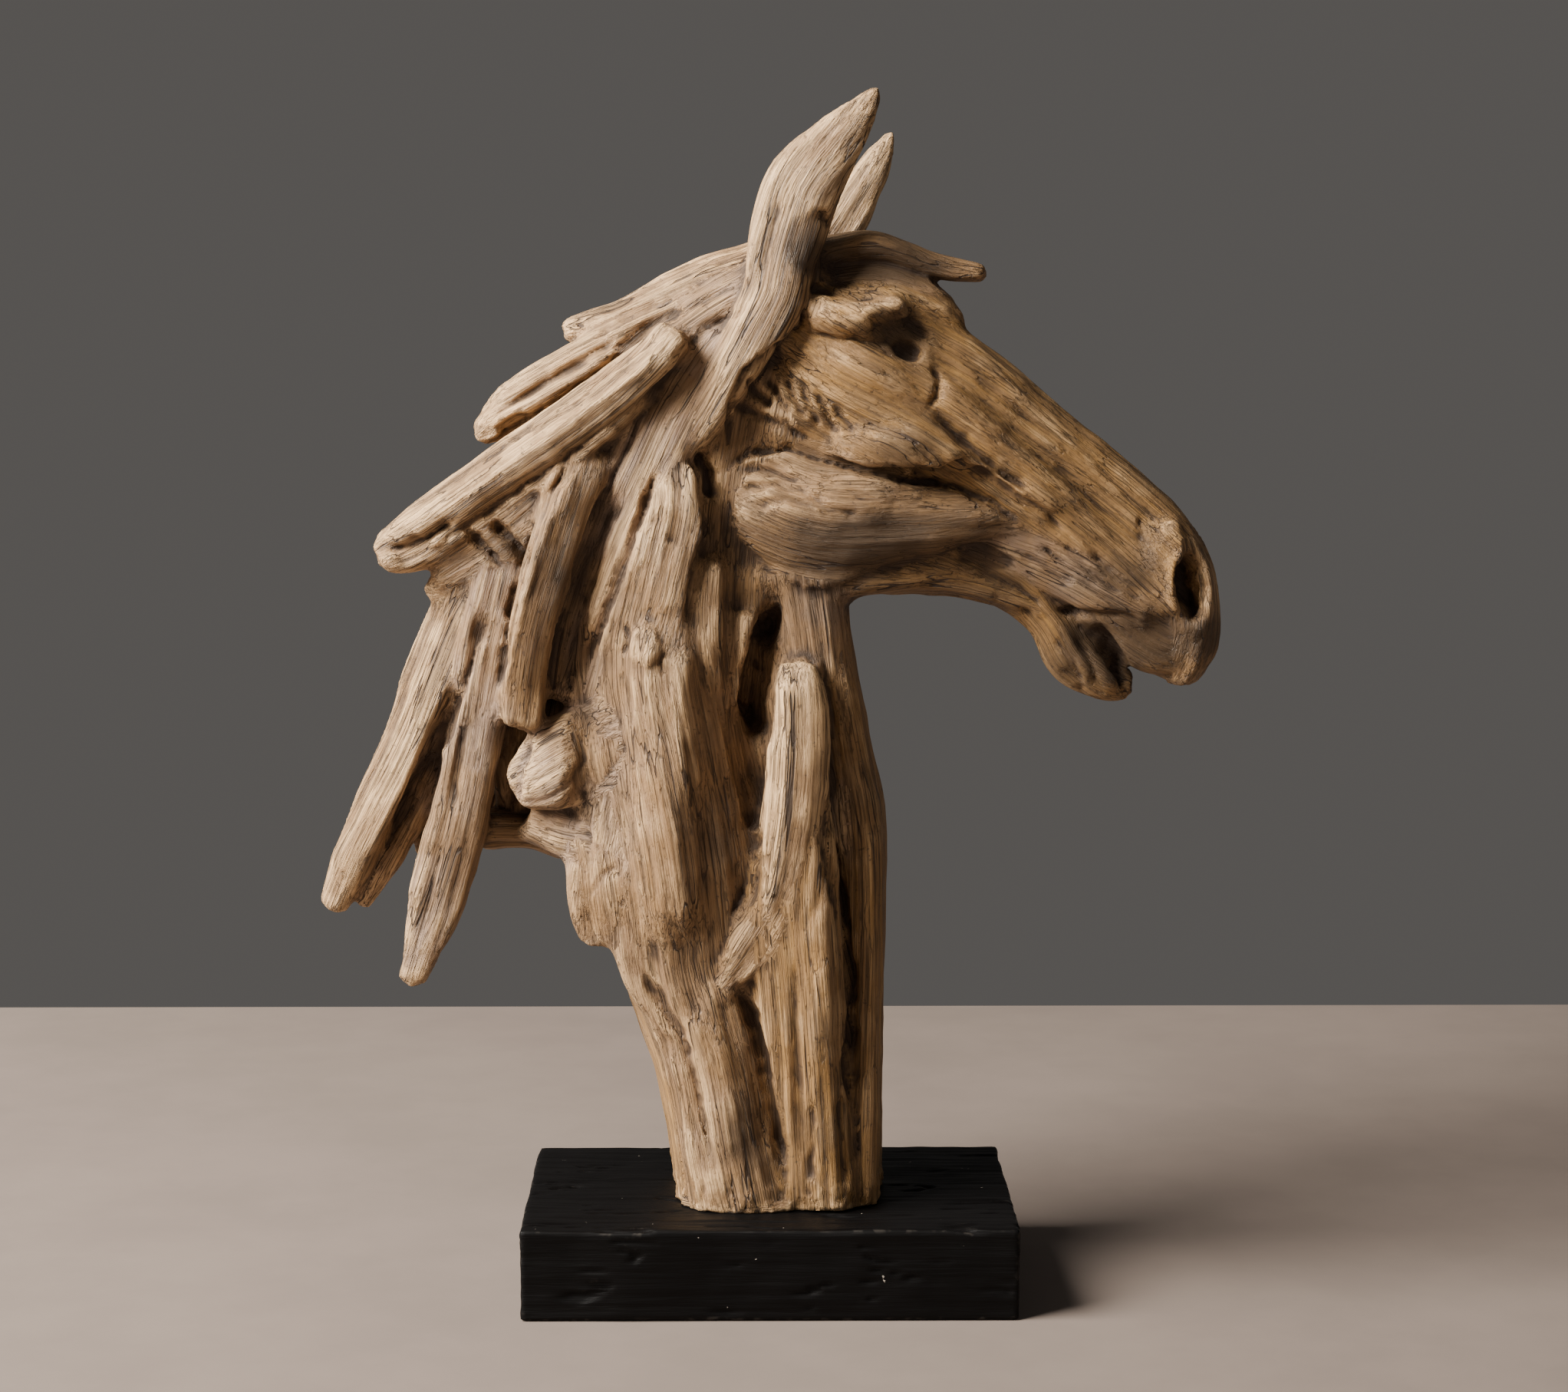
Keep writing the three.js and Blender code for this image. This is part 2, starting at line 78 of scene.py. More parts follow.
LIMBS = {
    # Masses on the middle plane
    "skull": Limb("middle", "gold", [
        (2, 0, 432, 22, 26), (34, 0, 412, 38, 36), (73, 0, 391, 36, 32), (111, 0, 365, 32, 25),
        (145, 0, 340, 30, 21), (170, 0, 318, 27, 21), (188, 0, 302, 12, 14)]),
    "poll": Limb("middle", "tan", [(-8, 0, 438, 20, 22), (8, 0, 449, 17, 25), (30, 0, 452, 14, 20)]),
    "muzzle": Limb("middle", "tan", [
        (177, 0, 344, 8, 12), (183, 0, 322, 13, 20), (186, 0, 300, 14, 21), (184, 0, 284, 13, 18),
        (180, 0, 270, 8, 12)]),
    "upper_lip": Limb("middle", "dark", [
        (138, 0, 314, 12, 17), (154, 0, 302, 14, 18), (172, 0, 290, 15, 18), (188, 0, 284, 9, 14)]),
    "lower_jaw": Limb("middle", "gold", [
        (10, 0, 350, 28, 26), (45, 0, 338, 27, 25), (80, 0, 330, 21, 19), (106, 0, 318, 15, 15),
        (124, 0, 301, 11, 14), (134, 0, 285, 13, 15), (147, 0, 274, 11, 14), (161, 0, 267, 6, 10)]),
    "neck_core": Limb("middle", "dark", [
        (6, 0, FOOT, 42, 34), (5, 0, 80, 42, 34), (0, 0, 120, 44, 34), (-10, 0, 165, 52, 34),
        (-17, 0, 210, 54, 34), (-22, 0, 255, 50, 34), (-24, 0, 300, 46, 32), (-22, 0, 345, 40, 31),
        (-15, 0, 390, 34, 30), (-5, 0, 430, 22, 24)]),
    "mane_core": Limb("middle", "dark", [
        (-8, 0, 432, 22, 24), (-45, 0, 397, 25, 24), (-75, 0, 352, 28, 24), (-95, 0, 300, 24, 20),
        (-106, 0, 250, 20, 15), (-106, 0, 214, 14, 12)]),
    "front_column": Limb("middle", "gold", [
        (28, -2, 314, 7, 18), (26, -2, 284, 12, 24), (32, -2, 245, 13, 26), (38, -2, 210, 14, 27),
        (39, -2, 165, 13, 28), (38, -2, 120, 13, 29), (37, -2, 80, 14, 30), (36, -2, FOOT, 15, 30)]),
    # Sticks and plates on or near the middle plane
    "forelock": Limb("middle", "dark", [
        (14, -4, 458, 8, 14), (42, -5, 464, 6, 14), (60, -6, 460, 5, 12), (76, -7, 454, 5, 9),
        (95, -8, 451, 4, 6)]),
    "forelock_root": Limb("middle", "dark", [
        (18, -2, 450, 9, 15), (45, -2, 454, 7, 13), (70, -3, 448, 5, 10)]),
    "forehead": Limb("middle", "tan", [
        (26, -6, 438, 9, 20), (48, -5, 441, 10, 20), (68, -4, 438, 10, 17), (83, -2, 427, 7, 13)]),
    "crest": Limb("middle", "pale", [
        (0, 0, 455, 12, 16), (-22, 0, 449, 11, 15), (-45, 0, 439, 10, 13), (-70, 0, 429, 8, 11),
        (-91, 0, 426, 5, 7)]),
    "upper_mane_plank": Limb("middle", "pale", [
        (-20, -10, 436, 12, 14), (-55, -12, 421, 13, 13), (-85, -13, 406, 13, 11),
        (-108, -13, 393, 13, 10), (-128, -12, 381, 4, 5)]),
    "web_under_mane": Limb("middle", "dark", [
        (-130, -8, 206, 9, 10), (-108, -8, 206, 8, 10), (-86, -8, 202, 10, 12)]),
    "mane_sliver": Limb("near", "grey", [
        (-134, -10, 272, 8, 7), (-150, -10, 234, 9, 7), (-163, -10, 206, 7, 6), (-182, -11, 171, 3, 4)]),
    "mane_back": Limb("middle", "dark", [
        (-122, -2, 300, 16, 9), (-136, -2, 250, 14, 8), (-147, -2, 215, 10, 6), (-156, -2, 192, 4, 4)]),
    "under_mane_stick": Limb("near", "tan", [
        (-62, -24, 390, 12, 10), (-88, -26, 364, 15, 10), (-113, -25, 342, 15, 10), (-146, -22, 320, 7, 7)]),
    # Sticks of the near side
    "near_ear": Limb("near", "pale", [
        (47, -28, 530, 2, 2), (38, -28, 518, 8, 6), (27, -27, 504, 13, 8), (15, -26, 488, 17, 10),
        (9, -26, 470, 17, 11), (5, -28, 455, 15, 11), (2, -30, 442, 13, 10), (-5, -31, 428, 12, 10),
        (-15, -32, 410, 10, 9), (-25, -32, 393, 8, 8), (-37, -31, 373, 5, 5)]),
    "crest_fill": Limb("near", "grey", [
        (4, -14, 446, 10, 10), (-16, -17, 438, 13, 10), (-40, -19, 422, 13, 10), (-62, -20, 404, 11, 9)]),
    "long_mane_stick": Limb("near", "pale", [
        (-38, -36, 427, 8, 9), (-52, -36, 411, 11, 10), (-72, -35, 393, 13, 11), (-97, -32, 375, 13, 11),
        (-125, -28, 356, 13, 10), (-150, -26, 338, 13, 10), (-170, -24, 328, 8, 7)]),
    "curved_mane_stick": Limb("near", "dark", [
        (-78, -32, 376, 9, 8), (-86, -36, 352, 13, 10), (-94, -38, 325, 12, 11), (-102, -37, 296, 10, 10),
        (-108, -35, 254, 8, 9)]),
    "curved_stick_edge": Limb("near", "pale", [
        (-84, -40, 358, 5, 6), (-99, -41, 334, 5, 6), (-107, -40, 305, 5, 6), (-113, -38, 278, 4, 5),
        (-113, -36, 256, 3, 4)]),
    "pale_nub": Limb("near", "pale", [(-118, -20, 321, 7, 6), (-150, -20, 314, 5, 5)]),
    "pale_mane_stick": Limb("near", "pale", [
        (-118, -16, 330, 12, 9), (-134, -19, 303, 14, 8), (-146, -20, 274, 15, 8), (-156, -20, 250, 13, 7),
        (-170, -19, 222, 11, 7), (-183, -18, 197, 9, 6), (-194, -17, 171, 6, 5)]),
    "low_mane_stick": Limb("near", "grey", [
        (-112, -20, 330, 13, 12), (-122, -22, 290, 12, 12), (-129, -23, 250, 12, 11),
        (-136, -23, 215, 12, 10), (-146, -22, 180, 12, 9), (-159, -22, 139, 6, 6)]),
    "branch_stub": Limb("near", "grey", [
        (-48, -30, 256, 16, 10), (-66, -30, 250, 19, 12), (-82, -30, 243, 20, 13), (-96, -29, 235, 18, 13),
        (-112, -26, 226, 9, 9)]),
    "stub_web": Limb("near", "grey", [
        (-106, -12, 212, 9, 12), (-90, -17, 207, 11, 14), (-74, -20, 205, 14, 14)]),
    "neck_ridge": Limb("near", "tan", [
        (-24, -34, 330, 4, 5), (-26, -35, 300, 7, 6), (-24, -34, 278, 7, 5), (-20, -31, 252, 5, 4)]),
    "throat_ridge": Limb("near", "tan", [
        (-10, -30, 306, 6, 5), (-11, -32, 285, 6, 5), (-14, -32, 262, 5, 5)]),
    "throat_block": Limb("near", "grey", [
        (14, -22, 326, 13, 9), (18, -22, 300, 15, 9), (22, -20, 270, 14, 9), (28, -20, 235, 12, 9),
        (33, -20, 195, 9, 8)]),
    # Plainer sticks of the far side
    "far_ear": Limb("far", "pale", [
        (55, 27, 515, 2, 2), (48, 26, 500, 7, 6), (40, 25, 487, 9, 7), (29, 23, 470, 12, 9),
        (14, 24, 450, 14, 10), (2, 28, 438, 13, 9), (-8, 29, 425, 11, 9), (-18, 30, 407, 9, 8),
        (-28, 30, 390, 8, 7), (-40, 29, 370, 5, 5)]),
    "far_long_stick": Limb("far", "pale", [
        (-40, 26, 418, 10, 9), (-80, 27, 388, 12, 10), (-120, 25, 358, 11, 9), (-146, 23, 339, 6, 6)]),
    "far_curved_stick": Limb("far", "tan", [
        (-46, 35, 408, 9, 9), (-70, 37, 365, 12, 10), (-90, 36, 320, 12, 10), (-104, 34, 262, 8, 8)]),
    "far_wide_stick": Limb("far", "pale", [
        (-110, 18, 335, 12, 9), (-130, 20, 295, 12, 9), (-144, 20, 255, 11, 8), (-157, 19, 222, 7, 6)]),
    "far_low_stick": Limb("far", "grey", [
        (-100, 22, 330, 14, 11), (-115, 24, 280, 14, 11), (-127, 23, 235, 12, 10), (-139, 21, 192, 7, 6)]),
    # Plates of the face
    "cheek": Limb("both", "tan", [
        (-16, -18, 357, 20, 14), (10, -20, 350, 28, 17), (40, -20, 350, 25, 16), (68, -15, 352, 14, 12)]),
    "jaw_plate": Limb("both", "tan", [
        (-15, -21, 357, 14, 11), (10, -23, 346, 28, 14), (30, -23, 342, 25, 13), (55, -21, 342, 18, 12),
        (80, -18, 343, 12, 10), (108, -15, 345, 5, 6)]),
    "jaw_under": Limb("both", "tan", [
        (-6, -18, 326, 11, 13), (20, -19, 319, 11, 13), (55, -16, 322, 9, 10), (95, -12, 324, 7, 8)]),
    "upper_cheek": Limb("both", "tan", [
        (26, -27, 380, 8, 8), (55, -30, 379, 13, 9), (75, -27, 376, 10, 8), (92, -23, 371, 4, 5)]),
    "temple": Limb("both", "tan", [(-10, -20, 392, 14, 9), (15, -25, 394, 18, 9), (40, -27, 400, 14, 9)]),
    "brow": Limb("both", "pale", [
        (14, -26, 438, 5, 7), (30, -30, 434, 6, 8), (44, -31, 433, 6, 7), (60, -29, 437, 6, 6)]),
    "lower_lid": Limb("both", "tan", [
        (26, -28, 418, 5, 6), (45, -31, 410, 6, 6), (60, -29, 404, 5, 5), (72, -26, 404, 4, 4)]),
    "nose_ridge": Limb("both", "gold", [
        (74, -26, 402, 8, 7), (94, -23, 385, 8, 7), (114, -20, 369, 8, 6), (134, -17, 353, 6, 5)]),
    "nose_bar": Limb("both", "tan", [(84, -27, 377, 5, 6), (104, -23, 361, 6, 7), (124, -19, 348, 5, 7)]),
    "lip_muscle": Limb("both", "grey", [
        (94, -13, 338, 8, 7), (124, -13, 327, 13, 8), (150, -15, 313, 13, 8), (168, -15, 303, 7, 7)]),
    "nostril_rim": Limb("both", "tan", [
        (177, -15, 345, 5, 4), (173, -19, 326, 7, 5), (177, -18, 303, 7, 5)]),
    "jaw_bar": Limb("both", "gold", [(28, -14, 317, 5, 8), (80, -12, 317, 5, 7), (120, -10, 305, 4, 6)]),
    # Planks of the neck
    "trunk": Limb("twin", "tan", [
        (-42, -29, 371, 9, 8), (-42, -33, 350, 15, 10), (-49, -34, 320, 19, 11), (-56, -33, 285, 23, 10),
        (-50, -33, 245, 36, 10), (-42, -33, 205, 39, 10), (-38, -32, 172, 35, 10), (-36, -30, 150, 29, 10),
        (-31, -28, 130, 22, 12), (-24, -27, 100, 19, 14), (-19, -28, 70, 19, 15), (-11, -30, FOOT, 21, 15)]),
    "trunk_ridge": Limb("twin", "tan", [
        (-50, -37, 318, 8, 6), (-52, -38, 290, 12, 8), (-47, -39, 255, 16, 9), (-46, -40, 215, 16, 9),
        (-43, -38, 180, 14, 9), (-38, -34, 150, 10, 7), (-30, -32, 115, 9, 8), (-24, -32, 80, 8, 8)]),
    "neck_lobe": Limb("twin", "grey", [
        (-60, -20, 238, 24, 16), (-68, -24, 205, 20, 17), (-73, -26, 180, 16, 16), (-74, -22, 157, 9, 11)]),
    "throat_stick": Limb("twin", "pale", [
        (12, -35, 285, 8, 8), (13, -38, 262, 12, 9), (12, -39, 232, 14, 10), (9, -39, 205, 14, 10),
        (4, -39, 180, 12, 9), (-8, -38, 158, 9, 8), (-21, -36, 138, 5, 5)]),
    "lower_column": Limb("twin", "gold", [
        (14, -35, 232, 9, 8), (13, -38, 205, 17, 10), (12, -39, 175, 20, 10), (15, -36, 135, 19, 10),
        (18, -33, 90, 19, 9), (21, -32, FOOT, 19, 9)]),
    "foot_rim": Limb("near", "pale", [
        (-34, -24, 43, 3, 9), (-22, -33, 43, 4, 9), (-6, -38, 42, 3, 7), (10, -38, 42, 2, 5)]),
    "left_strip": Limb("twin", "gold", [
        (-61, -12, 147, 6, 8), (-51, -14, 122, 7, 10), (-43, -16, 98, 8, 11), (-37, -18, 70, 8, 12),
        (-32, -18, FOOT, 8, 13)]),
    "mane_root": Limb("twin", "grey", [
        (-20, -24, 426, 9, 8), (-38, -27, 398, 14, 10), (-53, -29, 366, 16, 11), (-66, -29, 336, 15, 11),
        (-79, -28, 302, 13, 10), (-90, -26, 265, 10, 9)]),
}

TWIN_SHIFT = -3
END_ROUNDING = 0.45
LONGEST_END = 0.2
SECTION_POWER = 2.5
ROUND_POWER = 2.0
FLAT_POWER = 3.4
FLAT_LIMBS = {
    "pale_mane_stick", "long_mane_stick", "upper_mane_plank", "crest", "low_mane_stick", "mane_root",
    "trunk", "throat_stick", "curved_mane_stick", "far_wide_stick", "far_long_stick", "mane_sliver",
}
ROUND_LIMBS = {
    "skull", "muzzle", "lower_jaw", "cheek", "jaw_plate", "upper_cheek", "temple", "brow", "lower_lid",
    "nose_ridge", "near_ear", "far_ear", "forehead", "jaw_under",
}
FLUTES = {3: 0.045, 4: 0.04, 5: 0.025, 7: 0.012}
FLUTE_DRIFT = 0.006
LIMB_SPACING = 2.0
SLOPE_STEP = 1e-3

# Plates too small for a grain of their own
GRAIN_FROM_NEIGHBOUR = {
    "poll", "forehead", "cheek", "upper_cheek", "temple", "brow", "lower_lid", "nose_ridge", "nose_bar",
    "nostril_rim", "trunk_ridge", "curved_stick_edge", "jaw_under",
}

# Limbs whose grain is shallower or deeper than the rest
RELIEF_SHARE = {
    "branch_stub": 0.5, "near_ear": 0.8, "pale_mane_stick": 0.8, "crest": 1.5, "upper_mane_plank": 1.5,
    "low_mane_stick": 1.6, "mane_sliver": 1.6, "neck_lobe": 0.8,
}

# How pale, gold and grey each tone of wood is
TONES = {
    "pale": (0.8, 0.1, 0.1),
    "tan": (0.3, 0.2, 0.2),
    "gold": (0.2, 0.8, 0.0),
    "grey": (0.4, 0.0, 0.8),
    # The dark tone, with no pale share, is given to the cores and to limbs that lie in shade under or behind
    # others, such as the forelock's root, as painted shade.
    "dark": (0.0, 0.3, 0.2),
}

# Lines drawn on the near side as it is seen from the front, in millimetres
# The face's lines are cut on both sides, the others on the near side only.

# Grooves: (half width, depth, [(x, z), ...])
FACE_GROOVES = [
    (2.8, 5.0, [(72, 391), (82, 383), (92, 374), (104, 365), (118, 356)]),
    (2.4, 4.0, [(88, 366), (98, 361), (110, 352), (122, 346), (131, 339)]),
    (1.3, 2.5, [(72, 411), (75, 405), (74, 398), (71, 392)]),
    (2.0, 3.0, [(127, 304), (138, 302), (150, 300), (166, 299)]),
    (3.2, 6.0, [(143, 296), (149, 290), (155, 281), (159, 272), (161, 262)]),
    (1.2, 2.0, [(164, 344), (165, 339), (165, 334)]),
    (2.0, 3.0, [(88, 322), (100, 318), (112, 312), (122, 304)]),
    (1.8, 2.5, [(98, 310), (108, 306), (118, 300)]),
    (1.8, 3.2, [(-9, 406), (-5, 399), (2, 393)]),
    (1.8, 3.2, [(-1, 407), (4, 398), (10, 391)]),
    (1.9, 3.6, [(7, 406), (11, 397), (17, 388)]),
    (1.8, 3.2, [(14, 403), (18, 393), (23, 384)]),
    (1.8, 3.2, [(21, 399), (25, 390), (30, 381)]),
    (1.6, 2.4, [(29, 394), (32, 388), (38, 382)]),
    (2.2, 0.8, [(84, 428), (104, 408), (126, 388), (150, 366), (160, 352)]),
    (2.2, 0.8, [(86, 413), (108, 393), (132, 372), (150, 356)]),
    (2.0, 0.8, [(92, 400), (112, 382), (136, 360), (152, 344)]),
    (1.8, 2.4, [(127, 291), (135, 281), (139, 270)]),
    (1.8, 2.4, [(136, 292), (143, 281), (146, 269)]),
    (1.6, 2.0, [(130, 277), (141, 267)]),
    (2.0, 3.0, [(-15, 394), (-4, 389), (8, 384), (18, 377)]),
    (2.0, 2.4, [(-14, 366), (0, 365), (16, 360)]),
    (2.0, 2.4, [(-12, 358), (4, 359), (20, 354)]),
    (2.0, 2.2, [(-6, 350), (8, 352), (22, 348)]),
    (2.0, 2.4, [(17, 355), (26, 348), (40, 345)]),
    (1.8, 1.2, [(34, 356), (46, 350), (58, 348)]),
    (1.9, 2.4, [(112, 329), (124, 321), (136, 315)]),
    (1.9, 2.4, [(120, 332), (133, 322), (148, 313)]),
    (1.9, 2.4, [(130, 333), (143, 320), (158, 310)]),
    (1.9, 2.4, [(142, 329), (152, 319), (165, 308)]),
]
NEAR_GROOVES = [
    (2.0, 1.8, [(5, 484), (2, 470), (-1, 458), (-3, 447)]),
    (3.6, 17.0, [(2, 306), (-1, 290), (-4, 275), (-6, 260), (-4, 246)]),
    (2.6, 4.5, [(27, 217), (26, 200), (29, 185), (33, 165), (36, 140), (37, 115), (38, 92), (40, 72)]),
    (2.8, 8.0, [(-14, 132), (-8, 118), (-4, 100), (-1, 85), (3, 68), (8, 45)]),
    (1.2, 1.6, [(-85, 245), (-84, 235), (-88, 226), (-96, 220), (-104, 217), (-113, 218)]),
    (1.2, 1.3, [(-66, 190), (-74, 184), (-83, 172)]),
    (1.2, 1.2, [(-63, 246), (-67, 236), (-72, 228)]),
    (2.2, 4.0, [(-60, 143), (-50, 128), (-40, 112), (-35, 95), (-31, 75), (-26, 52)]),
    (1.3, 2.2, [(-64, 298), (-62, 290), (-65, 283)]),
    (1.3, 2.2, [(-46, 285), (-49, 280), (-48, 274)]),
    (2.0, 4.0, [(-46, 430), (-60, 419), (-72, 411), (-82, 399), (-92, 390), (-104, 381)]),
    (1.8, 3.0, [(-78, 423), (-58, 434), (-40, 442)]),
    (1.8, 3.0, [(-70, 417), (-52, 430), (-36, 437)]),
    (1.8, 3.0, [(-104, 401), (-80, 416), (-66, 423)]),
    (1.8, 3.0, [(-116, 393), (-94, 407), (-78, 414)]),
    (1.6, 2.5, [(-135, 252), (-139, 230), (-141, 212)]),
    (3.0, 5.0, [(-137, 272), (-147, 252), (-155, 232), (-160, 215), (-168, 200)]),
    (2.5, 4.0, [(-108, 247), (-112, 230), (-115, 215)]),
    (0.9, 0.7, [(-57, 340), (-47, 344), (-40, 342)]),
    (0.9, 0.7, [(-52, 332), (-44, 335), (-36, 331)]),
    (0.9, 0.7, [(-62, 318), (-54, 323), (-48, 322)]),
    (1.4, 2.0, [(-12, 446), (-32, 438), (-52, 424), (-68, 412)]),
    (1.4, 2.0, [(-10, 437), (-28, 427), (-44, 413)]),
    (1.4, 2.0, [(-8, 462), (-34, 454), (-58, 443), (-78, 433)]),
    (2.2, 5.0, [(-122, 342), (-114, 334), (-107, 324)]),
    (2.0, 4.0, [(-134, 339), (-125, 330), (-117, 321)]),
    (2.2, 3.5, [(23, 478), (27, 473), (31, 469)]),
    (2.6, 8.0, [(-31, 373), (-26, 364), (-24, 352)]),
    (2.4, 5.0, [(-170, 331), (-159, 331), (-149, 337), (-140, 343)]),
    (1.8, 3.0, [(-166, 325), (-154, 326), (-144, 331)]),
    (1.8, 3.0, [(20, 80), (20, 62), (19, 42)]),
    (1.8, 3.0, [(33, 84), (33, 64), (35, 42)]),
]

# Plate edges: (lip height, lip width, groove depth, groove width, line with the plate on its right)
FACE_EDGES = [
    (2.6, 7, 4.0, 3.0, [
        (-17, 366), (-8, 372), (8, 373), (22, 369), (40, 363), (60, 360), (80, 356), (98, 350), (109, 343)]),
    (0.5, 7, 1.2, 5.0, [
        (95, 334), (80, 329), (60, 324), (45, 319), (30, 314), (17, 313), (5, 318), (-6, 327), (-13, 338),
        (-17, 352)]),
    (2.4, 5, 4.0, 2.4, [(88, 371), (75, 366), (60, 364), (45, 367), (30, 371)]),
    (2.4, 5, 2.5, 2.0, [(52, 421), (35, 424), (18, 427)]),
]
NEAR_EDGES = [
    (1.2, 6, 3.5, 2.2, [
        (16, 440), (13, 430), (7, 423), (-2, 416), (-11, 410), (-15, 402), (-18, 390), (-19, 374)]),
    (1.5, 6, 4.0, 3.0, [(-36, 371), (-31, 362), (-29, 350), (-29, 338), (-33, 325), (-36, 312), (-38, 300)]),
    (1.5, 6, 4.0, 3.0, [
        (-80, 282), (-76, 292), (-70, 305), (-62, 325), (-56, 342), (-51, 357), (-46, 368)]),
    (1.5, 6, 1.2, 3.0, [
        (-25, 138), (-20, 150), (-14, 168), (-9, 186), (-6, 202), (-3, 222), (-1, 242), (3, 262), (5, 280)]),
    (1.2, 5, 2.0, 2.0, [(24, 278), (27, 255), (28, 235), (27, 217)]),
    (0.2, 5, 3.0, 2.4, [
        (-33, 424), (-43, 405), (-58, 386), (-68, 366), (-79, 338), (-88, 312), (-93, 295), (-96, 275),
        (-98, 258)]),
]

# Ridges: (crest height, height at the outer edges, width on the left, width on the right, line)
FACE_RIDGES = [
    (2.2, -2.2, 18, 28, [(-16, 352), (10, 350), (40, 349), (75, 346), (105, 344)]),
    (2.0, -1.5, 12, 16, [(78, 433), (95, 415), (112, 398), (130, 383), (150, 366), (168, 350)]),
]
NEAR_RIDGES = [
    (6.5, -5.5, 34, 42, [(-38, 300), (-41, 270), (-41, 240), (-42, 205), (-42, 178), (-38, 150)]),
    (4.0, -5.0, 24, 6, [(-80, 370), (-91, 355), (-99, 338), (-107, 312), (-113, 285), (-117, 262)]),
    (3.0, -1.5, 20, 12, [(9, 280), (10, 255), (10, 235), (8, 205), (4, 180), (-8, 158)]),
    (2.5, -2.0, 18, 14, [(-38, 122), (-32, 110), (-27, 95), (-22, 75), (-15, 50)]),
    (2.5, -2.0, 16, 10, [(22, 150), (21, 110), (22, 75), (24, 45)]),
    (1.2, -1.0, 12, 12, [(-42, 366), (-44, 345), (-48, 320), (-52, 300)]),
    (3.5, -4.0, 12, 12, [(-41, 423), (-58, 407), (-80, 391), (-100, 377), (-130, 356), (-160, 337)]),
    (1.5, -4.0, 8, 22, [(-129, 310), (-137, 287), (-147, 259), (-158, 235), (-170, 212), (-183, 188)]),
]

# Pits: (x, z, half width, half height, depth, rim height, lean in degrees)
FACE_PITS = [
    (57, 427, 14, 9, 3.4, 0.0, -12),
    (61, 419, 7.0, 5.0, 5.5, 0.0, -20),
    (187, 314, 6, 14, 13, 2.0, 6),
    (95, 326, 14, 6, 2.5, 0.0, -15),
]
NEAR_PITS = [
    (24, 464, 15, 15, 1.6, 0.0, -20),
    (-112, 385, 8, 5, 3.5, 0.0, 30),
    (-55, 288, 6, 9, -2.0, 0.0, 0),
    (-157, 331, 9, 5, 3.0, 0.8, 28),
]

# How far drawn lines wander, over what distance, and how squarely a face must look sideways to be cut
LINE_WOBBLE = 0.8
WOBBLE_SIZE = 6
FACING = (0.05, 0.4)

# Stains and painted shade: (x, z, half width, half height, how much darker), paler below 0. Most dark ones
# are painted shade on undersides, sockets and recesses, some are real stains; the pale ones are partly
# painted highlight on lit edges and partly real pale wear.
STAINS_AND_PAINTED_SHADE = [
    (36, 330, 55, 18, 1.5),
    (64, 342, 34, 12, 0.6),
    (155, 280, 8, 12, 1.2),
    (62, 380, 30, 13, 0.5),
    (80, 365, 100, 60, 0.18),
    (166, 290, 40, 14, 2.2),
    (172, 328, 12, 20, 0.7),
    (140, 278, 20, 12, 0.5),
    (154, 317, 26, 13, 0.95),
    (52, 456, 32, 9, 2.4),
    (58, 424, 15, 11, 1.2),
    (-91, 320, 9, 40, 0.9),
    (-118, 332, 16, 10, 0.8),
    (-22, 205, 15, 60, 0.6),
    (20, 302, 18, 22, 0.6),
    (105, 314, 26, 13, 0.7),
    (22, 90, 18, 45, 0.3),
    (-12, 80, 8, 50, 0.4),
    (-135, 230, 8, 40, 0.3),
    (-149, 235, 6, 40, 0.7),
    (15, 462, 16, 14, 0.8),
    (-1, 290, 6, 18, 1.0),
    (-6, 258, 6, 14, 1.3),
    (-30, 430, 22, 10, 0.4),
    (48, 180, 8, 90, 0.3),
    (-4, 425, 16, 24, -0.3),
    (-45, 345, 16, 30, -0.5),
    (-152, 285, 20, 30, -0.4),
    (-185, 195, 14, 24, -0.4),
    (-2, 366, 18, 7, -0.6),
    (8, 396, 20, 12, -0.3),
    (9, 238, 11, 42, -0.8),
    (-75, 178, 16, 20, -0.4),
    (-92, 235, 18, 14, -0.3),
    (12, 492, 14, 24, -0.4),
    (110, 385, 40, 14, -0.15),
    (-22, 42, 20, 4, -1.2),
    (16, 56, 50, 16, 0.5),
]

STAIN_AND_SHADE_SHARPNESS = 1.2

# How limbs flow into each other: creases are filled, more so on the face, and crests are worn a little
MELT_ROUNDS = 36
CREASE_FILL = 0.7
FACE_CREASE_FILL = 0.9
CREST_WEAR = 0.15
FACE_X = (-60, 0)
FACE_Z = (260, 320)

# Weathered surface: bands of (height, size) and of (length, width, share) along the grain
SWELL_BANDS = ((1.0, 28), (0.5, 12))
BREAK_BANDS = ((1.3, 5.0), (0.8, 2.6))
GRAIN_BANDS = ((150, 7.5, 1.3), (110, 3.8, 1.0), (80, 2.3, 0.7))
SWELL_SEED = 1
GRAIN_SEED = 3
BREAK_SEED = 10
WOBBLE_SEEDS = (31, 32)
BROKEN_FOOT = 20
NOISE_SHIFT = (17.3, 7.7, 3.1)
GRAIN_SHIFT = (173.0, 77.0, 31.0)

# Over how many neighbours tones are blended and hollows and ridges are felt, for the painted shade and
# highlight on the wood and the worn edges of the block
TONE_STEPS = 4
SMALL_DIP_STEPS = 5
LARGE_DIP_STEPS = 60

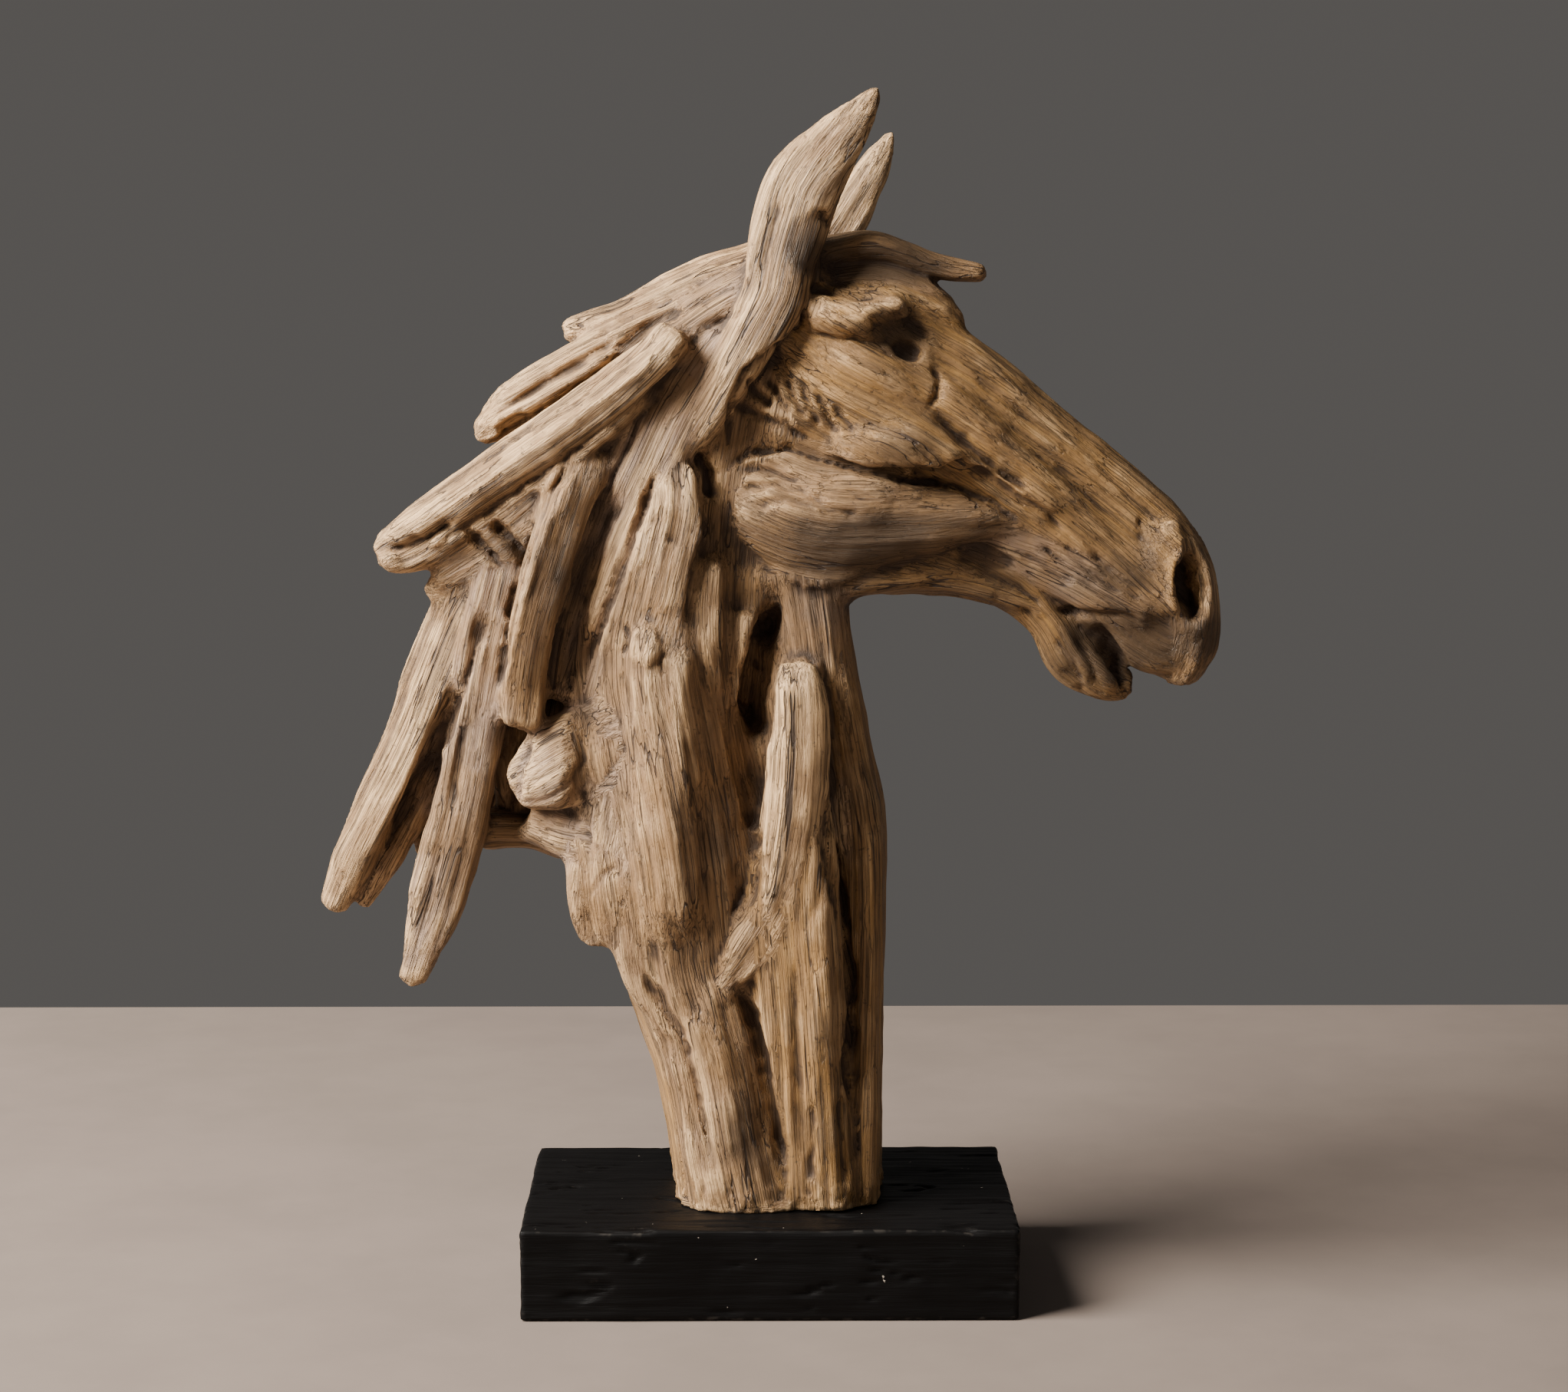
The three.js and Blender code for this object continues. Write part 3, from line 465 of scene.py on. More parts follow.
# Faces of the block: sizes of its waves, grain and splits along x, y and z
BROAD_WAVE = (46, 40, 60)
FINE_WAVE = (15, 13, 15)
PLANK_GRAIN = (55, 4.5, 4.5)
SPLIT_LINES = (80, 9, 7)
SPLIT_PATCHES = (30, 16, 16)
FINE_WAVE_SHARE = 0.35
FACE_INSET = 0.5
PLANK_GRAIN_HEIGHT = 0.22
SPLIT_DEPTH = 1.1

# Fineness of the meshes
JOIN_VOXEL = 1.5
FINISH_VOXEL = 1.15
BLOCK_VOXEL = 1.3
HEAD_TRIANGLES = 190000
BLOCK_TRIANGLES = 60000


class DriftwoodSettings(bpy.types.PropertyGroup):
    """Sizes and colours of the driftwood head"""

    grain_depth: FloatProperty(
        name="Grain Depth", description="How deep the weathered grain is cut",
        default=0.0006, unit="LENGTH")
    swell: FloatProperty(
        name="Swell", description="Broad unevenness of the surface",
        default=0.0009, unit="LENGTH")
    tan: FloatVectorProperty(
        name="Tan", description="Middle colour of the wood",
        default=(0.25, 0.142, 0.062), subtype="COLOR", size=3)
    # This colour is the pale wood's own, and is also laid on convex ridges as a painted highlight.
    cream: FloatVectorProperty(
        name="Cream", description="Colour of bleached ridges",
        default=(0.64, 0.41, 0.205), subtype="COLOR", size=3)
    grey: FloatVectorProperty(
        name="Grey", description="Colour of greyed patches",
        default=(0.35, 0.25, 0.19), subtype="COLOR", size=3)
    gold: FloatVectorProperty(
        name="Gold", description="Colour of golden brown patches",
        default=(0.36, 0.19, 0.05), subtype="COLOR", size=3)
    # This colour darkens cracks and flecks, and is also laid in hollows and creases as painted shade.
    crack_and_shade: FloatVectorProperty(
        name="Deep", description="Colour inside cracks and hollows",
        default=(0.034, 0.018, 0.010), subtype="COLOR", size=3)


class BlockSettings(bpy.types.PropertyGroup):
    """Sizes and colours of the black block"""

    edge: FloatProperty(
        name="Edge", description="Radius of the softened edges", default=0.0022, unit="LENGTH")
    waviness: FloatProperty(
        name="Waviness", description="How far the hand-cut faces wander", default=0.0010, unit="LENGTH")
    black: FloatVectorProperty(
        name="Black", description="Colour of the painted block",
        default=(0.0016, 0.0013, 0.0013), subtype="COLOR", size=3)
    worn: FloatVectorProperty(
        name="Worn", description="Colour where the paint is worn or chipped",
        default=(0.30, 0.26, 0.22), subtype="COLOR", size=3)


class StageSettings(bpy.types.PropertyGroup):
    """Floor, light and camera"""

    floor: FloatVectorProperty(
        name="Floor", description="Colour of the floor",
        default=(0.160, 0.126, 0.106), subtype="COLOR", size=3)
    surround: FloatVectorProperty(
        name="Surround", description="Colour of the plain surround",
        default=(0.100, 0.094, 0.089), subtype="COLOR", size=3)
    key_power: FloatProperty(
        name="Key Power", description="Power of the main light", default=285.0, unit="POWER")
    fill_power: FloatProperty(
        name="Fill Power", description="Power of the fill light", default=2.5, unit="POWER")
    lens: FloatProperty(
        name="Lens", description="Focal length of the camera", default=75.0, unit="CAMERA")


# Noise

def lattice_hash(cell, seed):
    """A scrambled whole number for every cell of a 3-D lattice."""
    mixed = cell[:, 0] * np.uint32(374761393) + cell[:, 1] * np.uint32(668265263)
    mixed = mixed + cell[:, 2] * np.uint32(1440662683) + np.uint32((seed * 974634277) % 2**32)
    mixed = (mixed ^ (mixed >> np.uint32(13))) * np.uint32(1274126177)
    return mixed ^ (mixed >> np.uint32(16))


def noise(points, seed):
    """Smooth gradient noise between about -1 and 1, one value for each point."""
    floor = np.floor(points)
    inside = points - floor
    cell = floor.astype(np.int64).astype(np.uint32)
    fade = inside ** 3 * (inside * (inside * 6 - 15) + 10)
    total = np.zeros(len(points))
    for corner in itertools.product((0, 1), repeat=3):
        step = np.array(corner)
        hashed = lattice_hash(cell + step.astype(np.uint32), seed)
        slopes = np.stack([(hashed >> np.uint32(shift)) & np.uint32(1023) for shift in (0, 10, 20)], axis=1)
        slopes = slopes / 511.5 - 1
        weight = np.where(step == 1, fade, 1 - fade).prod(axis=1)
        total += weight * (slopes * (inside - step)).sum(axis=1)
    return total * 1.5


def smooth_step(values, low, high):
    """Rises smoothly from 0 at low to 1 at high."""
    share = np.clip((values - low) / (high - low), 0, 1)
    return share * share * (3 - 2 * share)


# Limb shapes

def spline(rows, t):
    """A smooth curve through the rows, at each t from 0 to 1."""
    rows = np.asarray(rows, float)
    spans = len(rows) - 1
    padded = np.vstack([2 * rows[0] - rows[1], rows, 2 * rows[-1] - rows[-2]])
    at = np.clip(t, 0, 1) * spans
    first = np.minimum(at.astype(int), spans - 1)
    share = (at - first)[:, None]
    before, start, end, after = (padded[first + step] for step in range(4))
    return start + 0.5 * share * (
        end - before + share * (2 * before - 5 * start + 4 * end - after
                                + share * (3 * (start - end) + after - before)))


def mirrored(stations, shift):
    """The same stations on the other side."""
    return [(x + shift, -y, z, width, depth) for x, y, z, width, depth in stations]


def all_limbs():
    """Every limb with its twin, as a list of (name, tone, stations)."""
    limbs = []
    for name, limb in LIMBS.items():
        limbs.append((name, limb.tone, limb.stations))
        if limb.side == "both":
            limbs.append((name + "_far", limb.tone, mirrored(limb.stations, 0)))
        if limb.side == "twin":
            limbs.append((name + "_far", limb.tone, mirrored(limb.stations, TWIN_SHIFT)))
    return limbs


def section_power(name):
    """How square a limb's section is."""
    kind = name.removesuffix("_far")
    if kind in ROUND_LIMBS:
        return ROUND_POWER
    return FLAT_POWER if kind in FLAT_LIMBS else SECTION_POWER


def limb_frame(stations, t):
    """Middle, directions and half sizes at each t along a limb."""
    values = spline(stations, t)
    ahead = spline(stations, np.clip(t + SLOPE_STEP, 0, 1))[:, :3]
    behind = spline(stations, np.clip(t - SLOPE_STEP, 0, 1))[:, :3]
    along = ahead - behind
    along /= np.linalg.norm(along, axis=1, keepdims=True)
    across = np.cross(np.array([0.0, 1.0, 0.0]), along)
    across /= np.linalg.norm(across, axis=1, keepdims=True)
    towards = np.cross(along, across)
    return values[:, :3], along, across, towards, values[:, 3], values[:, 4]


def limb_length(stations):
    """Length of a limb's middle line."""
    line = spline(stations, np.linspace(0, 1, 100))[:, :3]
    return np.linalg.norm(np.diff(line, axis=0), axis=1).sum()


def limb_points(sphere, stations, number, power):
    """Wraps a unit sphere's points around a limb, with what the grain needs at each point."""
    t = np.arccos(np.clip(sphere[:, 2], -1, 1)) / math.pi
    angle = np.arctan2(sphere[:, 1], sphere[:, 0])
    middle, along, across, towards, width, depth = limb_frame(stations, t)
    length = limb_length(stations)
    first_end = min(LONGEST_END, END_ROUNDING * stations[0][3] / length)
    last_end = min(LONGEST_END, END_ROUNDING * stations[-1][3] / length)
    inside = np.minimum(np.minimum(t / first_end, (1 - t) / last_end), 1)
    scale = np.sqrt(np.clip(1 - (1 - inside) ** 2, 0, 1))
    cosine = np.cos(angle)
    sine = np.sin(angle)
    radius = (np.abs(cosine) ** power + np.abs(sine) ** power) ** (-1 / power)
    draws = np.random.default_rng(number)
    for lobes, height in FLUTES.items():
        drift = draws.uniform(-FLUTE_DRIFT, FLUTE_DRIFT) * t * length
        radius *= 1 + height * np.cos(lobes * angle + draws.uniform(0, 2 * math.pi) + drift)
    side = (width * scale * radius * cosine)[:, None]
    front = (depth * scale * radius * sine)[:, None]
    points = middle + across * side + towards * front
    local = np.column_stack([t * length, side[:, 0], front[:, 0]])
    return points, local, along, across, towards, 1 - inside


def limb_mesh(whole, stations, number, power, samples):
    """Adds one limb to the bmesh, and its grain samples to the list."""
    length = limb_length(stations)
    girth = 2 * math.pi * max(station[3] for station in stations)
    ball = bmesh.new()
    bmesh.ops.create_uvsphere(
        ball, u_segments=max(14, int(girth / LIMB_SPACING)),
        v_segments=max(14, int(length / LIMB_SPACING)), radius=1.0)
    sphere = np.array([vertex.co for vertex in ball.verts])
    points, local, along, across, towards, end = limb_points(sphere, stations, number, power)
    for vertex, point in zip(ball.verts, points * MM):
        vertex.co = point
    bmesh.ops.recalc_face_normals(ball, faces=ball.faces)
    piece = bpy.data.meshes.new("limb")
    ball.to_mesh(piece)
    ball.free()
    whole.from_mesh(piece)
    bpy.data.meshes.remove(piece)
    samples.append((points, local, along, across, towards, end, np.full(len(points), number)))


# Mesh tools

def modified(mesh, kind, **settings):
    """A copy of the mesh with one modifier applied."""
    holder = bpy.data.objects.new("shaping", mesh)
    bpy.context.scene.collection.objects.link(holder)
    modifier = holder.modifiers.new("shaping", kind)
    for key, value in settings.items():
        setattr(modifier, key, value)
    graph = bpy.context.evaluated_depsgraph_get()
    result = bpy.data.meshes.new_from_object(holder.evaluated_get(graph))
    bpy.data.objects.remove(holder)
    bpy.data.meshes.remove(mesh)
    return result


def voxel_joined(mesh, voxel):
    """The outer skin of everything in the mesh, in even faces of one voxel (millimetres)."""
    return modified(mesh, "REMESH", mode="VOXEL", voxel_size=voxel * MM)


def thinned(mesh, triangles):
    """The mesh with at most that many triangles."""
    mesh = modified(mesh, "TRIANGULATE")
    share = min(1.0, triangles / len(mesh.polygons))
    return modified(mesh, "DECIMATE", decimate_type="COLLAPSE", ratio=share, use_collapse_triangulate=True)


def vertex_places(mesh):
    """Vertex places in millimetres."""
    places = np.empty(len(mesh.vertices) * 3)
    mesh.vertices.foreach_get("co", places)
    return places.reshape(-1, 3) / MM


def place_vertices(mesh, places):
    """Moves the vertices to these places, in millimetres."""
    mesh.vertices.foreach_set("co", (places * MM).ravel())
    mesh.update()


def vertex_normals(mesh):
    """Outward direction at every vertex."""
    normals = np.empty(len(mesh.vertices) * 3)
    mesh.vertex_normals.foreach_get("vector", normals)
    return normals.reshape(-1, 3)


def edge_ends(mesh):
    """The two vertices of every edge."""
    ends = np.empty(len(mesh.edges) * 2, np.int32)
    mesh.edges.foreach_get("vertices", ends)
    return ends.reshape(-1, 2)


def triangle_corners(mesh):
    """The three vertices of every triangle."""
    corners = np.empty(len(mesh.loops), np.int32)
    mesh.loops.foreach_get("vertex_index", corners)
    return corners.reshape(-1, 3)


def eased(values, ends, steps):
    """Values at the vertices, averaged with their neighbours a number of times."""
    count = len(values)
    near = np.bincount(ends[:, 0], minlength=count) + np.bincount(ends[:, 1], minlength=count)
    near = np.maximum(near, 1)
    flat = values.reshape(count, -1).copy()
    for _ in range(steps):
        total = np.empty_like(flat)
        for column in range(flat.shape[1]):
            total[:, column] = (
                np.bincount(ends[:, 0], flat[ends[:, 1], column], count)
                + np.bincount(ends[:, 1], flat[ends[:, 0], column], count))
        flat = 0.5 * flat + 0.5 * total / near[:, None]
    return flat.reshape(values.shape)


def dip(places, normals, ends, steps):
    """How far each vertex lies below the average of its neighbourhood."""
    return ((eased(places, ends, steps) - places) * normals).sum(axis=1)


def largest_body(mesh):
    """Deletes every loose bit but the largest body."""
    ends = edge_ends(mesh)
    label = np.arange(len(mesh.vertices))
    while True:
        lowest = np.minimum(label[ends[:, 0]], label[ends[:, 1]])
        before = label.copy()
        np.minimum.at(label, ends[:, 0], lowest)
        np.minimum.at(label, ends[:, 1], lowest)
        label = label[label]
        if (label == before).all():
            break
    names, sizes = np.unique(label, return_counts=True)
    keep = names[np.argmax(sizes)]
    body = bmesh.new()
    body.from_mesh(mesh)
    loose = [vertex for vertex, name in zip(body.verts, label) if name != keep]
    bmesh.ops.delete(body, geom=loose, context="VERTS")
    body.to_mesh(mesh)
    body.free()
    return mesh


# Carving

def seen_from_front(places):
    """Where each vertex is seen on the middle plane from the front, on whichever side it lies."""
    shrink = 1 - np.abs(places[:, 1]) / VIEW_DISTANCE
    right = VIEW_MIDDLE[0] + (places[:, 0] - VIEW_MIDDLE[0]) / shrink
    up = VIEW_MIDDLE[1] + (places[:, 2] - VIEW_MIDDLE[1]) / shrink
    return right, up


def distance_to_line(x, z, line):
    """Distance in the front view to a drawn line, below 0 on its left, and the share of the line passed."""
    best = np.full(len(x), np.inf)
    signed = np.zeros(len(x))
    share = np.zeros(len(x))
    line = np.asarray(line, float)
    steps = np.linalg.norm(np.diff(line, axis=0), axis=1)
    starts = np.concatenate([[0], np.cumsum(steps)])
    for start, end, step, so_far in zip(line[:-1], line[1:], steps, starts):
        way = (end - start) / step
        offset_x = x - start[0]
        offset_z = z - start[1]
        along = np.clip(offset_x * way[0] + offset_z * way[1], 0, step)
        distance = np.hypot(offset_x - along * way[0], offset_z - along * way[1])
        closer = distance < best
        best = np.where(closer, distance, best)
        turn = np.sign(offset_x * way[1] - offset_z * way[0])
        signed = np.where(closer, distance * turn, signed)
        share = np.where(closer, (so_far + along) / starts[-1], share)
    return signed, share


def groove_height(x, z, half_width, depth, line):
    """Height that a drawn groove adds at each place."""
    distance, share = distance_to_line(x, z, line)
    taper = smooth_step(np.minimum(share, 1 - share), -0.05, 0.18)
    return -depth * np.exp(-(distance / half_width) ** 2) * taper


def edge_height(x, z, lip, lip_width, depth, width, line):
    """Height that a drawn plate edge adds: a raised lip on its right and a groove on its left."""
    distance, share = distance_to_line(x, z, line)
    taper = smooth_step(np.minimum(share, 1 - share), -0.05, 0.12)
    raised = lip * np.exp(-((distance - 2) / lip_width) ** 2) * (distance > 0)
    sunk = depth * np.exp(-(distance / width) ** 2) * smooth_step(distance, 1.5, -0.5)
    return (raised - sunk) * taper


def ridge_height(x, z, crest, outer, left_width, right_width, line):
    """Height that a drawn ridge adds: two flat slopes that meet in a crest."""
    distance, share = distance_to_line(x, z, line)
    taper = smooth_step(np.minimum(share, 1 - share), -0.02, 0.15)
    out = np.abs(distance) / np.where(distance < 0, left_width, right_width)
    slope = crest + (outer - crest) * np.minimum(out, 1)
    return slope * smooth_step(out, 1.25, 0.95) * taper


def pit_height(x, z, pit):
    """Height that a pit adds at each place."""
    middle_x, middle_z, half_width, half_height, depth, rim, lean = pit
    turn = math.radians(lean)
    right = (x - middle_x) * math.cos(turn) + (z - middle_z) * math.sin(turn)
    up = (z - middle_z) * math.cos(turn) - (x - middle_x) * math.sin(turn)
    out = np.hypot(right / half_width, up / half_height)
    return rim * np.exp(-((out - 1.35) / 0.3) ** 2) - depth * smooth_step(out, 1.2, 0.7)


def carved_height(places, normals):
    """Height that all drawn lines and pits add at each vertex."""
    x, z = seen_from_front(places)
    x = x + LINE_WOBBLE * noise(places / WOBBLE_SIZE, WOBBLE_SEEDS[0])
    z = z + LINE_WOBBLE * noise(places / WOBBLE_SIZE, WOBBLE_SEEDS[1])
    heights = {}
    for name, grooves, edges, ridges, pits in (
            ("face", FACE_GROOVES, FACE_EDGES, FACE_RIDGES, FACE_PITS),
            ("near", NEAR_GROOVES, NEAR_EDGES, NEAR_RIDGES, NEAR_PITS)):
        sunk = np.zeros(len(places))
        raised = np.zeros(len(places))
        parts = [groove_height(x, z, *groove) for groove in grooves]
        parts += [edge_height(x, z, *edge) for edge in edges]
        parts += [pit_height(x, z, pit) for pit in pits]
        for part in parts:
            sunk = np.minimum(sunk, part)
            raised = np.maximum(raised, part)
        heights[name] = sunk + raised + sum(ridge_height(x, z, *ridge) for ridge in ridges)
    near = smooth_step(-normals[:, 1], *FACING) * (places[:, 1] < 0)
    far = smooth_step(normals[:, 1], *FACING) * (places[:, 1] > 0)
    return heights["face"] * (near + far) + heights["near"] * near


def melted(mesh, rounds):
    """Fills the creases between limbs so that they flow into each other, most of all on the face."""
    ends = edge_ends(mesh)
    for _ in range(rounds):
        places = vertex_places(mesh)
        normals = vertex_normals(mesh)
        face = smooth_step(places[:, 0], *FACE_X) * smooth_step(places[:, 2], *FACE_Z)
        shift = dip(places, normals, ends, 1)
        share = np.where(shift > 0, CREASE_FILL + FACE_CREASE_FILL * face, CREST_WEAR)
        place_vertices(mesh, places + normals * (shift * share)[:, None])


# Grain

class GrainField:
    """Grain coordinates anywhere near the limbs: along a limb, across it and towards the viewer."""

    def __init__(self, names, samples):
        self.points, self.local, self.along, self.across, self.towards, self.end, self.number = samples
        self.trees = {}
        guides = []
        for number, name in enumerate(names):
            rows = np.flatnonzero(self.number == number)
            self.trees[number] = self.tree_of(rows)
            if name.removesuffix("_far") not in GRAIN_FROM_NEIGHBOUR:
                guides.append(rows)
        self.guide = self.tree_of(np.concatenate(guides))

    def tree_of(self, rows):
        """A tree to look up the nearest of these samples."""
        tree = KDTree(len(rows))
        for row in rows:
            tree.insert(self.points[row], row)
        tree.balance()
        return tree

    def unbent(self, places, nearest):
        """Grain coordinates of places from their nearest samples."""
        offset = places - self.points[nearest]
        shifted = [(offset * axis[nearest]).sum(axis=1) for axis in (self.along, self.across, self.towards)]
        return self.local[nearest] + np.column_stack(shifted)

    def at(self, places):
        """Number of the limb under each place, its grain coordinates and how near the limb's end it is."""
        nearest = np.array([self.guide.find(place)[1] for place in places])
        return self.number[nearest], self.unbent(places, nearest), self.end[nearest]

    def at_corners(self, places, corners):
        """Grain coordinates at the corners of triangles, each triangle following one limb."""
        number, grain, _ = self.at(places)
        corner_number = number[corners]
        face_number = np.sort(corner_number, axis=1)[:, 1]
        result = grain[corners]
        for face, corner in np.argwhere(corner_number != face_number[:, None]):
            place = places[corners[face, corner]]
            nearest = self.trees[face_number[face]].find(place)[1]
            result[face, corner] = self.unbent(place[None], np.array([nearest]))[0]
        result += face_number[:, None, None] * np.array(GRAIN_SHIFT)
        return result.reshape(-1, 3)


def stretched(grain, number, length, width):
    """Grain coordinates as noise points, stretched along the limb and different for every limb."""
    scaled = grain / np.array([length, width, width])
    return scaled + np.outer(number, NOISE_SHIFT)


def banded(places, bands, seed):
    """Noise of several heights and sizes added up."""
    return sum(height * noise(places / size, seed + band) for band, (height, size) in enumerate(bands))


def relief(places, grain, number, end, settings):
    """Height of the weathered surface at every vertex, in millimetres."""
    swell = banded(places, SWELL_BANDS, SWELL_SEED)
    ridges = np.zeros(len(places))
    for seed, (length, width, share) in enumerate(GRAIN_BANDS, GRAIN_SEED):
        ridges += share * noise(stretched(grain, number, length, width), seed)
    foot = smooth_step(places[:, 2], BLOCK_TOP + BROKEN_FOOT, BLOCK_TOP)
    broken = np.maximum(end, foot) * banded(places, BREAK_BANDS, BREAK_SEED)
    return settings.swell / MM * swell + settings.grain_depth / MM * ridges + broken


def store(mesh, name, kind, values, domain="POINT"):
    """Keeps values on the mesh for the material to read."""
    attribute = mesh.attributes.new(name, kind, domain)
    key = "vector" if kind == "FLOAT_VECTOR" else "value"
    attribute.data.foreach_set(key, np.ascontiguousarray(values, np.float32).ravel())


def stain_and_shade_at(places):
    """How much darker the stains and painted shade make each place."""
    x, z = seen_from_front(places)
    stain_and_shade = np.zeros(len(places))
    for middle_x, middle_z, half_width, half_height, darker in STAINS_AND_PAINTED_SHADE:
        out = np.hypot((x - middle_x) / half_width, (z - middle_z) / half_height)
        stain_and_shade += darker * np.exp(-STAIN_AND_SHADE_SHARPNESS * out ** 2)
    return stain_and_shade


def carved_head(settings):
    """The finished mesh of the head, with its grain, tones, stains and the dips that place its painted shade
    and highlight kept on its vertices.
    """
    join_voxel = JOIN_VOXEL
    finish_voxel = FINISH_VOXEL
    whole = bmesh.new()
    samples = []
    names = []
    tones = []
    for number, (name, tone, stations) in enumerate(all_limbs()):
        limb_mesh(whole, stations, number, section_power(name), samples)
        names.append(name)
        tones.append(TONES[tone])
    samples = [np.concatenate(column) for column in zip(*samples)]
    tones = np.array(tones)
    calm = np.array([RELIEF_SHARE.get(name.removesuffix("_far"), 1.0) for name in names])
    field = GrainField(names, samples)

    mesh = bpy.data.meshes.new("horse_head_carved")
    whole.to_mesh(mesh)
    whole.free()
    mesh = largest_body(voxel_joined(mesh, join_voxel))
    melted(mesh, MELT_ROUNDS)
    mesh = voxel_joined(mesh, finish_voxel)
    places = vertex_places(mesh)
    normals = vertex_normals(mesh)
    place_vertices(mesh, places + normals * carved_height(places, normals)[:, None])
    mesh = largest_body(voxel_joined(mesh, finish_voxel))

    places = vertex_places(mesh)
    number, grain, end = field.at(places)
    height = eased(relief(places, grain, number, end, settings) * calm[number], edge_ends(mesh), 1)
    places = places + vertex_normals(mesh) * height[:, None]
    places[:, 2] = np.maximum(places[:, 2], BLOCK_TOP)
    place_vertices(mesh, places)
    mesh = thinned(mesh, HEAD_TRIANGLES)

    places = vertex_places(mesh)
    normals = vertex_normals(mesh)
    ends = edge_ends(mesh)
    number, grain, end = field.at(places)
    tone = eased(tones[number], ends, TONE_STEPS)
    store(mesh, "grain", "FLOAT_VECTOR", field.at_corners(places, triangle_corners(mesh)), "CORNER")
    # The small and large dips mark ridges and hollows; the material paints highlight on the ridges and shade
    # in the hollows from them.
    store(mesh, "dip_small", "FLOAT", eased(dip(places, normals, ends, SMALL_DIP_STEPS), ends, 1))
    store(mesh, "dip_large", "FLOAT", dip(places, normals, ends, LARGE_DIP_STEPS))
    # Stains and painted shade, kept for the material.
    store(mesh, "stain_and_shade", "FLOAT", stain_and_shade_at(places))
    for column, name in enumerate(("pale", "gold", "grey")):
        store(mesh, name, "FLOAT", tone[:, column])
    return mesh


# Materials

def new_material(name):
    """An empty node material and its principled shader."""
    material = bpy.data.materials.new(name)
    material.use_nodes = True
    tree = material.node_tree
    shader = tree.nodes["Principled BSDF"]
    return material, tree, shader


def add_node(tree, kind, inputs=None, **settings):
    """A node with its settings, its plain inputs and its links."""
    node = tree.nodes.new(kind)
    for key, value in settings.items():
        setattr(node, key, value)
    for key, value in (inputs or {}).items():
        if isinstance(value, bpy.types.NodeSocket):
            tree.links.new(value, node.inputs[key])
        else:
            node.inputs[key].default_value = value
    return node


def attribute(tree, name):
    """The value that the mesh keeps under a name."""
    return add_node(tree, "ShaderNodeAttribute", attribute_name=name).outputs["Fac"]


def ranged(tree, value, low, high, to_low=0.0, to_high=1.0):
    """A value moved smoothly from one range to another."""
    return add_node(tree, "ShaderNodeMapRange", {
        "Value": value, "From Min": low, "From Max": high, "To Min": to_low, "To Max": to_high,
    }, interpolation_type="SMOOTHSTEP").outputs["Result"]


def combined(tree, operation, first, second):
    """Two values worked together by a sum, product or other rule."""
    return add_node(tree, "ShaderNodeMath", {0: first, 1: second}, operation=operation).outputs["Value"]


def mixed(tree, share, first, second):
    """Two colours mixed by a share."""
    node = tree.nodes.new("ShaderNodeMix")
    node.data_type = "RGBA"
    for index, value in ((0, share), (6, first), (7, second)):
        if isinstance(value, bpy.types.NodeSocket):
            tree.links.new(value, node.inputs[index])
        elif index == 0:
            node.inputs[index].default_value = value
        else:
            node.inputs[index].default_value = (*value, 1.0)
    return node.outputs[2]


def even_noise(tree, vector, scale, detail, roughness):
    """Noise of the same size in every direction."""
    return add_node(tree, "ShaderNodeTexNoise", {
        "Vector": vector, "Scale": scale, "Detail": detail, "Roughness": roughness,
    }).outputs["Fac"]


def stretched_noise(tree, vector, scale, detail, roughness):
    """Noise drawn out along the first axis of a vector."""
    mapping = add_node(tree, "ShaderNodeMapping", {"Vector": vector, "Scale": scale})
    return even_noise(tree, mapping.outputs["Vector"], 1.0, detail, roughness)


def thin_lines(tree, vector, scale, width, mask_scale, mask_low, mask_high):
    """Thin lines along the grain, in patches: 1 on a line and 0 between lines."""
    wave = stretched_noise(tree, vector, scale, 2.0, 0.4)
    distance = combined(tree, "ABSOLUTE", combined(tree, "SUBTRACT", wave, 0.5), 0.0)
    mask = ranged(tree, stretched_noise(tree, vector, mask_scale, 2.0, 0.5), mask_low, mask_high)
    return combined(tree, "MULTIPLY", ranged(tree, distance, width, 0.3 * width), mask)


